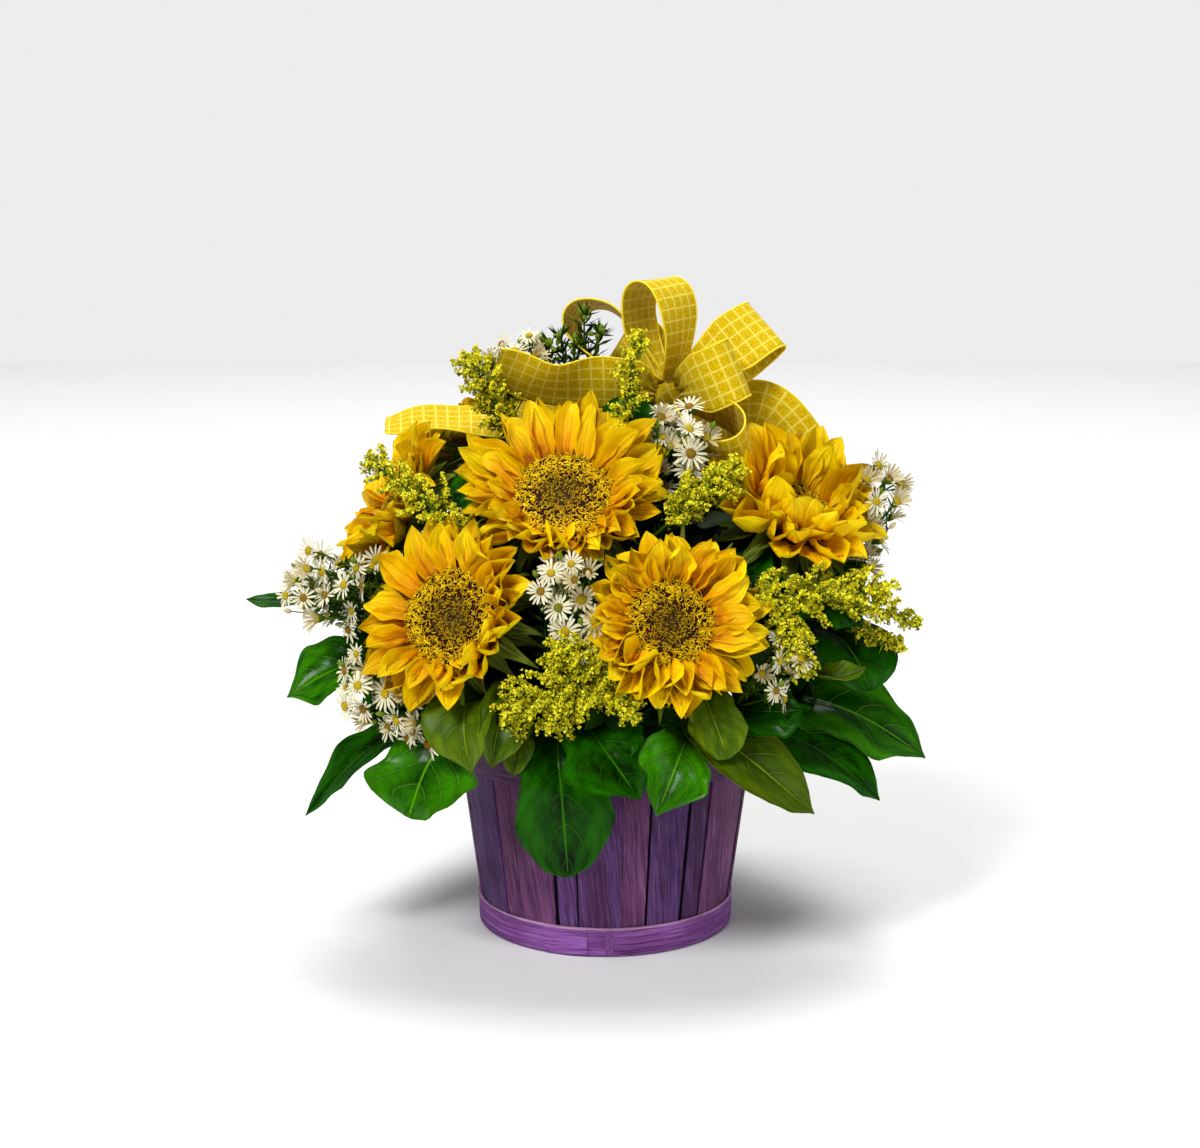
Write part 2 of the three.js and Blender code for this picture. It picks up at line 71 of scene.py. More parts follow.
def place_camera():
    """Stands a little above the crown, in front of the arrangement, and looks 12 degrees down."""
    bpy.ops.object.camera_add(location=CAMERA_PLACE, rotation=(math.radians(78), 0, 0))
    camera = bpy.context.object
    camera.name = "camera"
    camera.data.lens = 78
    camera.data.sensor_width = 36
    camera.data.clip_start = 0.05
    bpy.context.scene.camera = camera


def place_light(name, location, aim, size, power, colour=(1, 1, 1)):
    bpy.ops.object.light_add(type="AREA", location=location)
    lamp = bpy.context.object
    lamp.name = name
    lamp.data.size = size
    lamp.data.energy = power
    lamp.data.color = colour
    towards = Vector(aim) - Vector(location)
    lamp.rotation_euler = towards.to_track_quat("-Z", "Y").to_euler()


def place_world():
    """A white room, which gives the arrangement an even, weaker light than it shows the camera."""
    world = bpy.data.worlds.new("white_room")
    world.use_nodes = True
    nodes, links = world.node_tree.nodes, world.node_tree.links
    ray = nodes.new("ShaderNodeLightPath")
    strength = nodes.new("ShaderNodeMapRange")
    strength.inputs["To Min"].default_value = ROOM_LIGHT
    strength.inputs["To Max"].default_value = ROOM_SEEN
    links.new(ray.outputs["Is Camera Ray"], strength.inputs["Value"])
    links.new(strength.outputs[0], nodes["Background"].inputs["Strength"])
    nodes["Background"].inputs["Color"].default_value = (1, 1, 1, 1)
    bpy.context.scene.world = world
    bpy.context.scene.view_settings.view_transform = "Standard"


place_world()
place_camera()
place_light("key_light", (-1.9, -3.0, 3.6), (0, 0, 0.2), 1.5, 200)
place_light("fill_light", (3.4, -2.6, 1.7), (0, 0, 0.22), 3.0, 50)
place_light("top_light", (0.2, 1.4, 4.6), (0, 0, 0.2), 3.0, 205)


# ---- finishes ----


class Flow:
    """The output of a shader node, on which sums are written as plain arithmetic."""

    def __init__(self, finish, socket):
        self.finish = finish
        self.socket = socket

    def _sum(self, operation, first, second):
        made = self.finish.node("ShaderNodeMath", {"operation": operation}, [first, second])
        return self.finish.flow(made)

    def __add__(self, other):
        return self._sum("ADD", self, other)

    def __sub__(self, other):
        return self._sum("SUBTRACT", self, other)

    def __rsub__(self, other):
        return self._sum("SUBTRACT", other, self)

    def __mul__(self, other):
        return self._sum("MULTIPLY", self, other)

    def __truediv__(self, other):
        return self._sum("DIVIDE", self, other)

    def __pow__(self, other):
        return self._sum("POWER", self, other)

    __radd__ = __add__
    __rmul__ = __mul__


class Finish:
    """One material: its shader takes plain values, and patterns for colour, roughness and bump."""

    def __init__(self, name, roughness=0.5, sheen=0.0, specular=0.5):
        self.material = bpy.data.materials.new(name)
        self.material.use_nodes = True
        self.tree = self.material.node_tree
        self.shader = self.tree.nodes["Principled BSDF"]
        self.shader.inputs["Roughness"].default_value = roughness
        self.shader.inputs["Sheen Weight"].default_value = sheen
        self.shader.inputs["Specular IOR Level"].default_value = specular

    def node(self, kind, settings=None, values=None, ramp=None):
        """Adds a node: its settings, its colour stops, then its sockets by name or in order."""
        made = self.tree.nodes.new(kind)
        for key, setting in (settings or {}).items():
            setattr(made, key, setting)
        if ramp:
            stops = made.color_ramp.elements
            while len(stops) < len(ramp):
                stops.new(0.5)
            for stop, (position, colour) in zip(stops, ramp):
                stop.position = position
                stop.color = (*colour, 1)
        pairs = values.items() if isinstance(values, dict) else enumerate(values or [])
        for key, value in pairs:
            if isinstance(value, Flow):
                self.tree.links.new(value.socket, made.inputs[key])
            else:
                made.inputs[key].default_value = value
        return made

    def flow(self, made, output=0):
        return Flow(self, made.outputs[output])

    def feed(self, socket, flow):
        self.tree.links.new(flow.socket, self.shader.inputs[socket])

    def colour(self, colour):
        self.shader.inputs["Base Color"].default_value = (*colour, 1)
        return self

    def across_and_along(self):
        """The piece's own map: the share across a petal, leaf or ribbon, and the share along it."""
        made = self.node("ShaderNodeUVMap", {"uv_map": MAP_NAME})
        parts = self.node("ShaderNodeSeparateXYZ", values=[self.flow(made)])
        return self.flow(parts, 0), self.flow(parts, 1)

    def one(self, operation, *values):
        return self.flow(self.node("ShaderNodeMath", {"operation": operation}, list(values)))

    def place(self, x, y, z=0.0):
        return self.flow(self.node("ShaderNodeCombineXYZ", values=[x, y, z]))

    def noise(self, where, scale, detail=3.0, roughness=0.55):
        made = self.node(
            "ShaderNodeTexNoise",
            values={"Vector": where, "Scale": scale, "Detail": detail, "Roughness": roughness},
        )
        return self.flow(made)

    def random(self, number, seed=0.0):
        made = self.node("ShaderNodeTexWhiteNoise", {"noise_dimensions": "1D"}, {"W": number + seed})
        return self.flow(made)

    def ramp(self, value, stops):
        return self.flow(self.node("ShaderNodeValToRGB", values=[value], ramp=stops))

    def clip(self, value, low, high, to_low=0.0, to_high=1.0):
        made = self.node("ShaderNodeMapRange", {"clamp": True}, [value, low, high, to_low, to_high])
        return self.flow(made)

    def blend(self, share, first, second, way="MIX"):
        made = self.node("ShaderNodeMix", {"data_type": "RGBA", "blend_type": way})
        for key, value in ((0, share), (6, first), (7, second)):
            if isinstance(value, Flow):
                self.tree.links.new(value.socket, made.inputs[key])
            else:
                made.inputs[key].default_value = (*value, 1) if key > 0 else value
        return self.flow(made, 2)

    def bump(self, height, strength=0.5, distance=0.0005):
        made = self.node(
            "ShaderNodeBump", values={"Strength": strength, "Distance": distance, "Height": height}
        )
        self.feed("Normal", self.flow(made))


MAP_NAME = "along"
BAKE_MAP = "OFBake"


def plain(name, colour, roughness):
    return Finish(name, roughness, specular=0.12).colour(colour).material


def petal_finish():
    """Deep orange foot, partly painted shade; golden middle; yellow tip and edges, partly painted light;
    finely ribbed.
    """
    f = Finish("petal", roughness=0.6, specular=0.12)
    u, v = f.across_and_along()
    number = f.one("FLOOR", u)
    across = f.one("FRACT", u)
    edge = f.one("ABSOLUTE", across * 2 - 1)
    tone = f.random(number)
    fresh = f.random(number, 7.3)
    grain = f.noise(f.place(across * 15, v * 0.9, number * 3.1), 1.0, 4.0, 0.62)
    patch = f.noise(f.place(across * 2.2, v * 2.4, number * 5.7), 1.0, 2.0)
    # The level climbs the ramp from foot to tip and rises towards the edges: the yellow edges are partly
    # painted light.
    level = v + (patch - 0.5) * 0.9 + (fresh - 0.5) * 0.45 + edge**3 * 0.4
    body = f.ramp(
        level,
        [
            (0.0, (0.50, 0.15, 0.0)),
            (0.12, (0.78, 0.32, 0.0)),
            (0.38, (0.90, 0.47, 0.0)),
            (0.70, (0.97, 0.62, 0.0)),
            (1.0, (1.0, 0.72, 0.0)),
        ],
    )
    wander = (patch - 0.5) * 0.3
    # Darker lines down the grooves and along the middle crease are painted shade.
    groove_shade = f.clip(f.one("ABSOLUTE", edge + wander - 0.36), 0.0, 0.09, 0.68, 1.0)
    middle = f.clip(f.one("ABSOLUTE", edge + wander * 0.3), 0.0, 0.05, 0.86, 1.0)
    rib = f.clip(grain, 0.3, 0.7, 0.68, 1.10)
    shade = rib * groove_shade * middle * f.clip(tone, 0, 1, 0.88, 1.06)
    f.feed("Base Color", f.blend(1.0, body, f.place(shade, shade, shade), "MULTIPLY"))
    f.feed("Roughness", f.clip(grain, 0.3, 0.7, 0.68, 0.5))
    f.bump(grain + groove_shade * 0.9 + middle * 0.5, 0.8, 0.0012)
    return f.material


def leaf_finish(name, low, high, vein, roughness, specular=0.2, rows=6.0, vein_width=1.0):
    """A blade with a paler midrib, arching side veins and quilted green between, in painted light and
    shade.
    """
    f = Finish(name, roughness=roughness, specular=specular)
    u, v = f.across_and_along()
    number = f.one("FLOOR", u)
    side = f.one("ABSOLUTE", f.one("FRACT", u) * 2 - 1)
    tone = f.random(number)
    patch = f.noise(f.place(side * 2.5, v * 4, number * 2.7), 1.0, 3.0)
    fine = f.noise(f.place(side * 27, v * 54, number), 1.0, 3.0)
    bend = (f.noise(f.place(u * 4, v * 7, 2.0), 1.0, 2.0) - 0.5) * 0.10
    midrib = f.clip(side + bend * 0.2, 0.010 * vein_width, 0.034 * vein_width, 1.0, 0.0)
    row = f.one("PINGPONG", v * rows - side**1.4 * 2.1 + bend * 2.5 + f.random(number, 4.4), 0.5)
    lateral = f.clip(row, 0.008 * vein_width, 0.036 * vein_width, 1.0, 0.0) * f.clip(side, 0.6, 0.95, 1, 0)
    margin = f.clip(side, 0.945, 0.985)
    lines = f.one("MAXIMUM", f.one("MAXIMUM", midrib * 0.7, lateral * 0.3), margin)
    # Large patches of light and dark green, lighter towards the edges, are painted light and shade.
    body = f.blend(f.clip(patch + side * 0.25 - 0.1, 0.32, 0.68), low, high)
    net = f.flow(f.node("ShaderNodeTexVoronoi", {"feature": "DISTANCE_TO_EDGE"},
                        {"Vector": f.place(side * 11, v * 22, number), "Scale": 1.0}))
    shade = f.clip(tone, 0, 1, 0.75, 1.2) * f.clip(fine, 0.3, 0.7, 0.78, 1.14)
    # The row term darkens the furrows along the side veins: painted shade.
    shade = shade * f.clip(net, 0.0, 0.09, 0.84, 1.0) * f.clip(row, 0.0, 0.3, 0.74, 1.06)
    body = f.blend(1.0, body, f.place(shade, shade, shade), "MULTIPLY")
    f.feed("Base Color", f.blend(lines, body, vein))
    f.feed("Roughness", f.clip(fine, 0.3, 0.7, roughness - 0.08, roughness + 0.1))
    f.bump(row * 0.8 - lines * 0.6 + fine * 0.12, 0.55, 0.0010)
    return f.material


def ribbon_finish():
    """Golden woven cloth with a cream window-pane check, open threads and corded edges."""
    f = Finish("checked_ribbon", roughness=0.66, sheen=0.03, specular=0.06)
    u, v = f.across_and_along()  # across the ribbon 0 to 1, along it in widths
    cells = 5.0
    line_u = f.one("PINGPONG", u * cells + 0.5, 0.5)
    line_v = f.one("PINGPONG", v * cells, 0.5)
    stripe = f.one("MAXIMUM", f.clip(line_u, 0.40, 0.46), f.clip(line_v, 0.40, 0.46))
    twin = f.one("MAXIMUM", f.clip(line_u, 0.26, 0.30) * f.clip(line_u, 0.30, 0.34, 1, 0),
                 f.clip(line_v, 0.26, 0.30) * f.clip(line_v, 0.30, 0.34, 1, 0))
    warp = f.one("PINGPONG", u * 46, 0.5) * 2
    weft = f.one("PINGPONG", v * 46, 0.5) * 2
    weave = f.one("MAXIMUM", warp * 0.8, weft)
    slub = f.noise(f.place(u * 9, v * 60, 1.0), 1.0, 3.0)
    slub_2 = f.noise(f.place(u * 60, v * 9, 4.0), 1.0, 3.0)
    mottle = f.noise(f.place(u * 26, v * 26, 0.0), 1.0, 2.0)
    edge = f.clip(f.one("ABSOLUTE", u * 2 - 1), 0.93, 0.97)
    ground = f.blend(f.clip(mottle, 0.35, 0.65), (0.52, 0.34, 0.0), (0.76, 0.53, 0.0))
    cloth = f.blend(stripe * 0.8, ground, (0.90, 0.76, 0.12))
    cloth = f.blend(twin * 0.3, cloth, (0.80, 0.64, 0.05))
    cloth = f.blend(edge, cloth, (0.82, 0.62, 0.01))
    shade = f.clip(slub + slub_2, 0.7, 1.3, 0.86, 1.1) * f.clip(weave, 0.0, 1.0, 0.84, 1.04)
    f.feed("Base Color", f.blend(1.0, cloth, f.place(shade, shade, shade), "MULTIPLY"))
    f.bump(weave * 0.6 + slub * 0.5 + stripe * 0.3, 0.5, 0.0005)
    return f.material


def wood_finish(name, low, high, violet, pale, worn_edge=0.0):
    """Thin stained wood: fine long grain, dark pores, paler streaks where the stain is thin; staves get
    painted shadow at the top.
    """
    f = Finish(name, roughness=0.66, specular=0.15)
    u, v = f.across_and_along()
    number = f.one("FLOOR", u / GRAIN_JUMP)
    tone = f.random(number)
    wander = f.noise(f.place(u * 0.5, v * 0.25, number), 1.0, 2.0) * 0.5
    long_grain = f.noise(f.place((u + wander) * 8, v * 0.09, number), 1.0, 6.0, 0.75)
    fine_grain = f.noise(f.place((u + wander) * 34, v * 0.28, number), 1.0, 3.0, 0.65)
    cloud = f.noise(f.place(u * 0.7, v * 0.3, number * 2), 1.0, 3.0)
    stained = f.blend(f.clip(f.random(number, 5.2) + (cloud - 0.5) * 0.8, 0.35, 0.85), high, violet)
    body = f.blend(f.clip(long_grain, 0.40, 0.62), low, stained)
    body = f.blend(f.clip(fine_grain, 0.52, 0.70, 0.0, 0.7) * f.clip(cloud, 0.38, 0.66), body, pale)
    pore = f.clip(fine_grain, 0.36, 0.45, 1.0, 0.0)
    crack = f.noise(f.place(u * 5, v * 0.5, number * 3), 1.0, 2.0)
    crack = f.clip(crack, 0.70, 0.74) * f.clip(long_grain, 0.45, 0.5)
    shade = f.clip(tone, 0, 1, 0.70, 1.25) * (1 - pore * 0.6) * f.clip(cloud, 0.3, 0.7, 0.80, 1.15)
    shade = shade * (1 - crack * 0.7)
    # On the staves, darker towards the top: painted shadow of the leaves over the rim.
    if not worn_edge:
        shade = shade * f.clip(v, 1.5, 12.0, 1.18, 0.78)
    body = f.blend(1.0, body, f.place(shade, shade, shade), "MULTIPLY")
    if worn_edge:
        height = u - number * GRAIN_JUMP + (long_grain - 0.5) * 0.3
        top = f.clip(height, worn_edge - 0.13, worn_edge - 0.06) * f.clip(cloud, 0.3, 0.5)
        body = f.blend(top * 0.8, body, (0.66, 0.38, 0.58))
    f.feed("Base Color", body)
    f.feed("Roughness", f.clip(long_grain, 0.3, 0.7, 0.58, 0.78))
    f.bump(long_grain * 0.6 - pore * 0.6 + fine_grain * 0.3, 0.7, 0.0010)
    return f.material


def stem_finish(name, low, high, roughness=0.55):
    """Green skin with paler flecks."""
    f = Finish(name, roughness=roughness)
    where = f.flow(f.node("ShaderNodeTexCoord"), 3)
    patch = f.noise(where, 60.0, 3.0)
    fleck = f.noise(where, 700.0, 2.0)
    body = f.blend(f.clip(patch, 0.35, 0.65), low, high)
    f.feed("Base Color", f.blend(f.clip(fleck, 0.6, 0.75, 0, 0.4), body, (0.45, 0.5, 0.2)))
    f.bump(fleck, 0.4, 0.0004)
    return f.material


LOOKS = {
    "petal": petal_finish(),
    "leaf_top": leaf_finish("leaf_top", (0.001, 0.013, 0.0), (0.012, 0.115, 0.0),
                            (0.035, 0.17, 0.002), 0.22, specular=0.07),
    # A lighter copy of leaf_top for leaves that catch the light: painted light.
    "leaf_bright": leaf_finish("leaf_bright", (0.003, 0.050, 0.0), (0.035, 0.20, 0.0),
                               (0.13, 0.36, 0.006), 0.20, specular=0.10),
    "leaf_under": leaf_finish("leaf_under", (0.045, 0.085, 0.002), (0.10, 0.16, 0.006),
                              (0.20, 0.27, 0.03), 0.5, specular=0.08),
    "leaf_pale": leaf_finish("leaf_pale", (0.030, 0.072, 0.001), (0.092, 0.160, 0.001),
                             (0.22, 0.32, 0.01), 0.36, specular=0.10),
    "bract": leaf_finish("bract", (0.055, 0.085, 0.003), (0.15, 0.20, 0.012),
                         (0.46, 0.50, 0.14), 0.6, specular=0.1, rows=1.0, vein_width=2.0),
    "ribbon": ribbon_finish(),
    "stave": wood_finish("stave_wood", (0.070, 0.018, 0.074), (0.205, 0.070, 0.185),
                         (0.125, 0.060, 0.245), (0.40, 0.21, 0.38)),
    "foot_band": wood_finish("foot_band_wood", (0.18, 0.042, 0.26), (0.54, 0.18, 0.62),
                             (0.44, 0.17, 0.68), (0.68, 0.38, 0.72),
                             worn_edge=GRAIN_OFFSET + CM * FOOT_BAND_TOP),
    "rim_hoop": wood_finish("rim_hoop_wood", (0.066, 0.018, 0.066), (0.165, 0.062, 0.155),
                            (0.13, 0.055, 0.18), (0.34, 0.18, 0.30),
                            worn_edge=GRAIN_OFFSET + CM * RIM_HOOP_TOP),
    "stem": stem_finish("stem_skin", (0.10, 0.20, 0.02), (0.22, 0.34, 0.06)),
    "foam": stem_finish("wet_foam", (0.01, 0.05, 0.015), (0.02, 0.09, 0.03), 0.9),
}
# Finishes of one colour: the colour and the roughness.
PLAIN_LOOKS = {
    "ribbon_cord": ((0.84, 0.66, 0.03), 0.6),
    # Near black on the backing behind the staves: painted shadow in the gaps.
    "stave_gap": ((0.010, 0.003, 0.012), 0.9),
    # The disc of a sunflower.
    "disc_dark": ((0.030, 0.008, 0.001), 0.7),
    "disc_olive": ((0.10, 0.068, 0.0), 0.7),
    "disc_bud": ((0.44, 0.29, 0.0), 0.6),
    "floret_gold": ((0.80, 0.52, 0.002), 0.5),
    "floret_orange": ((0.56, 0.27, 0.0), 0.5),
    "floret_lemon": ((0.88, 0.66, 0.008), 0.5),
    # Asters.
    "aster_white": ((0.72, 0.68, 0.47), 0.55),
    "aster_cream": ((0.54, 0.47, 0.26), 0.55),
    "aster_eye": ((0.42, 0.30, 0.004), 0.7),
    "aster_eye_dark": ((0.22, 0.12, 0.004), 0.7),
    "sprig": ((0.04, 0.10, 0.002), 0.55),
    "sprig_dark": ((0.008, 0.035, 0.0), 0.5),
    "sprig_pale": ((0.13, 0.21, 0.01), 0.5),
    # Goldenrod.
    "rod_yellow": ((0.88, 0.82, 0.03), 0.6),
    "rod_gold": ((0.62, 0.52, 0.0), 0.6),
    "rod_lime": ((0.34, 0.36, 0.006), 0.6),
    "rod_olive": ((0.09, 0.11, 0.001), 0.65),
    # Small leaves inside the crown: dark greens, darkened further as painted shade between the blooms.
    "inner_dark": ((0.003, 0.014, 0.0), 0.5),
    "inner_mid": ((0.006, 0.035, 0.0), 0.45),
    "inner_light": ((0.018, 0.075, 0.002), 0.45),
}
LOOKS.update({name: plain(name, *look) for name, look in PLAIN_LOOKS.items()})


# ---- meshes from arrays ----


def unit(vector):
    vector = np.asarray(vector, float)
    return vector / np.maximum(np.linalg.norm(vector, axis=-1, keepdims=True), 1e-9)


def axes_facing(facing, spin=0.0):
    """Rows: a direction to the right, one up the face, and the facing itself."""
    out = unit(facing)
    hint = UP if abs(out[2]) < 0.97 else np.array([0.0, 1.0, 0.0])
    right = unit(np.cross(hint, out))
    top = np.cross(out, right)
    c, s = math.cos(spin), math.sin(spin)
    return np.array([c * right + s * top, c * top - s * right, out])


def about_z(angle):
    c, s = math.cos(angle), math.sin(angle)
    return np.array([[c, s, 0], [-s, c, 0], [0, 0, 1]])


def grid_faces(rows, columns, closed=False):
    """Quads between rows of points; closed joins each row's last point to its first."""
    r = np.arange(rows - 1)[:, None] * columns
    c = np.arange(columns if closed else columns - 1)[None, :]
    n = (c + 1) % columns
    return np.stack([r + c, r + n, r + columns + n, r + columns + c], -1).reshape(-1, 4)


def listed(faces):
    return faces if isinstance(faces, (list, tuple)) else [faces]


class Bunch:
    """Small things gathered into one joined mesh, in millimetres, each with its finish."""

    def __init__(self, *looks):
        self.looks = looks
        self.points, self.maps, self.bakes = [], [], []
        self.faces, self.finishes = {3: [], 4: []}, {3: [], 4: []}
        self.total = 0

    def add(self, points, faces, look, across_along=None, bake=None):
        points = np.asarray(points, float).reshape(-1, 3)
        count = len(points)
        blank = np.zeros((count, 2))
        self.points.append(points)
        self.maps.append(blank if across_along is None else across_along.reshape(-1, 2))
        self.bakes.append(blank if bake is None else bake.reshape(-1, 2))
        skins = faces if isinstance(faces, dict) else {look: faces}
        for skin_look, skin in skins.items():
            for part in listed(skin):
                self.faces[part.shape[1]].append(part + self.total)
                self.finishes[part.shape[1]].append(np.full(len(part), self.looks.index(skin_look)))
        self.total += count

    def copies(self, shape, places, turns, look):
        """Adds a small shape (points, faces) at each place; turns hold three scaled axes each."""
        points, faces = shape
        placed = places[:, None, :] + np.einsum("pk,nkj->npj", points, turns)
        steps = np.arange(len(places))[:, None, None] * len(points)
        self.add(placed, [(part[None] + steps).reshape(-1, part.shape[1]) for part in listed(faces)], look)

    def make(self, name, slot, *nodes, keep_bake=False):
        """Makes the mesh, smooth all over; keep_bake adds the chart that a pattern is baked on."""
        mesh = bpy.data.meshes.new(name)
        parts = [(n, np.concatenate(self.faces[n])) for n in (3, 4) if self.faces[n]]
        corners = np.concatenate([part.ravel() for _, part in parts])
        sizes = np.concatenate([np.full(len(part), n) for n, part in parts])
        mesh.vertices.add(self.total)
        mesh.loops.add(len(corners))
        mesh.polygons.add(len(sizes))
        mesh.vertices.foreach_set("co", (np.concatenate(self.points) * MM).ravel())
        mesh.polygons.foreach_set("loop_start", np.concatenate([[0], np.cumsum(sizes)[:-1]]))
        mesh.polygons.foreach_set("vertices", corners)
        for look in self.looks:
            mesh.materials.append(LOOKS[look])
        finishes = np.concatenate([np.concatenate(self.finishes[n]) for n, _ in parts])
        mesh.polygons.foreach_set("material_index", finishes)
        layers = [(MAP_NAME, self.maps)] + ([(BAKE_MAP, self.bakes)] if keep_bake else [])
        for layer_name, values in layers:
            layer = mesh.uv_layers.new(name=layer_name)
            layer.uv.foreach_set("vector", np.concatenate(values)[corners].ravel())
        mesh.update(calc_edges=True)
        mesh.shade_smooth()
        piece = bpy.data.objects.new(name, mesh)
        bpy.context.scene.collection.objects.link(piece)
        return settle(piece, slot, *nodes)


def settle(piece, slot, *nodes):
    """The piece rides on the arrangement's one body and stands for the CAD nodes named."""
    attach(piece, "root")
    if nodes:
        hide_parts(*nodes)
    return piece


def carried_frames(path):
    """Unit tangents and two cross directions along a path, carried without twisting."""
    path = np.asarray(path, float)
    ahead = unit(np.gradient(path, axis=0))
    side = np.cross(ahead[0], UP if abs(ahead[0][2]) < 0.9 else np.array([1.0, 0, 0]))
    sides = []
    for direction in ahead:
        side = unit(side - direction * np.dot(side, direction))
        sides.append(side)
    sides = np.array(sides)
    return ahead, sides, np.cross(ahead, sides)


def tube(path, radii, sides=5, ribs=0.0):
    """A closed tapering tube along a path, with ribs along it; returns points and faces."""
    _, one, two = carried_frames(path)
    turn = np.arange(sides) * TURN / sides
    wave = 1 + ribs * np.cos(turn * sides / 2)
    radii = np.broadcast_to(radii, len(path))[:, None, None]
    ring = np.cos(turn)[None, :, None] * one[:, None] + np.sin(turn)[None, :, None] * two[:, None]
    points = np.asarray(path)[:, None] + ring * radii * wave[None, :, None]
    ends = np.asarray(path)[[0, -1]]
    count = len(path) * sides
    around = np.arange(sides)
    ahead = (around + 1) % sides
    last = count - sides
    foot = np.stack([np.full(sides, count), ahead, around], -1)
    tip = np.stack([np.full(sides, count + 1), last + around, last + ahead], -1)
    skin = grid_faces(len(path), sides, closed=True)
    return np.concatenate([points.reshape(-1, 3), ends]), [skin, np.concatenate([foot, tip])]


def point_at(path, share):
    """The place at a share of the way along a path."""
    steps = np.arange(len(path))
    return np.array([np.interp(share * steps[-1], steps, path[:, k]) for k in range(3)])


def in_bands(values, bands):
    """Each look in turn, with which of the values lie in its band."""
    for look, low, high in bands:
        yield look, (values >= low) & (values < high)


def bow_path(start, end, lift, steps=6):
    """A simple bend from start to end, pushed off the straight line by lift in the middle."""
    start, end, lift = (np.asarray(x, float) for x in (start, end, lift))
    t = np.linspace(0, 1, steps)[:, None]
    return start * (1 - t) + end * t + lift * 4 * t * (1 - t)


# ---- petals and leaves ----


def blade_sheet(length, width, outline, rise=0.0, arch=0.0, tip=0.0, cup=0.0, twist=0.0,
                sway=0.0, pleat=0.0, wave=0.0, phase=0.0, crumple=0.0, ragged=0.0, rows=12, columns=7):
    """A thin blade from the origin along X, across Y, with its face up Z.

    rise is the angle it leaves at, arch how far that angle turns over its length and tip how much
    more it turns near its end. cup lifts its edges, and pleat and wave are the heights of its
    lengthwise folds and of its wavy edge. crumple is the height of its uneven dents, and ragged the
    share by which its outline wanders. Returns the points and the shares across and along.
    """
    u = np.linspace(0, 1, rows)
    v = np.linspace(-1, 1, columns)
    angle = rise + arch * u + tip * np.clip((u - 0.62) / 0.38, 0, 1) ** 1.5
    middle = (angle[1:] + angle[:-1]) / 2
    step = length / (rows - 1)
    x = np.concatenate([[0], np.cumsum(np.cos(middle) * step)])
    z = np.concatenate([[0], np.cumsum(np.sin(middle) * step)])
    half = 0.5 * width * np.interp(u, *outline)
    turn = twist * u
    lift = (
        cup * half[:, None] * (v**2 - 0.35)[None]
        + pleat * np.cos(v * math.pi * 1.5 + 0.4)[None] * np.sin(math.pi * u**0.7)[:, None]
        + wave * np.sin(u[:, None] * 9 + phase + 1.6 * v[None]) * (v**2)[None]
        + crumple * np.sin(u[:, None] * 14 + phase * 3 + 2.6 * v[None]) * np.cos(
            v[None] * 3.1 + u[:, None] * 5 + phase * 2) * np.sin(math.pi * u[:, None] ** 0.8)
    )
    wander = 1 + ragged * np.sin(u[:, None] * 17 + phase * 2 + 2.1 * np.sign(v[None]))
    side = half[:, None] * v[None] * wander
    along = side * 0 + x[:, None]
    across = side * np.cos(turn)[:, None] - lift * np.sin(turn)[:, None]
    raised = side * np.sin(turn)[:, None] + lift * np.cos(turn)[:, None]
    points = np.stack([
        along - raised * np.sin(angle)[:, None],
        across + (sway * length * u**2)[:, None],
        z[:, None] + raised * np.cos(angle)[:, None],
    ], -1)
    shares = np.stack(np.broadcast_arrays((v[None] + 1) / 2, u[:, None]), -1)
    return points.reshape(-1, 3), shares.reshape(-1, 2), grid_faces(rows, columns)


def numbered(shares, number):
    """The share across, kept clear of 0 and 1, plus the number that tells this blade from others."""
    return np.stack([number + 0.02 + 0.96 * shares[:, 0], shares[:, 1]], -1)


def bake_cell(shares, number, total):
    """This blade's own cell in a square chart of them all."""
    side = math.ceil(math.sqrt(total))
    corner = np.array([number % side, number // side])
    return (corner + 0.05 + 0.9 * shares) / side


PETAL_OUTLINE = ([0, 0.12, 0.35, 0.55, 0.72, 0.86, 0.95, 1.0],
                 [0.48, 0.62, 0.92, 1.0, 0.86, 0.50, 0.20, 0.02])
BRACT_OUTLINE = ([0, 0.15, 0.35, 0.6, 0.8, 1.0], [0.7, 1.0, 0.92, 0.5, 0.22, 0.02])
SPOON_OUTLINE = ([0, 0.06, 0.18, 0.34, 0.55, 0.74, 0.86, 0.94, 0.98, 1.0],
                 [0.10, 0.34, 0.62, 0.80, 0.95, 1.0, 0.88, 0.64, 0.40, 0.08])
LEAF_OUTLINE = ([0, 0.04, 0.14, 0.32, 0.55, 0.74, 0.86, 0.93, 0.97, 1.0],
                [0.06, 0.20, 0.55, 0.88, 1.0, 0.90, 0.66, 0.34, 0.12, 0.02])

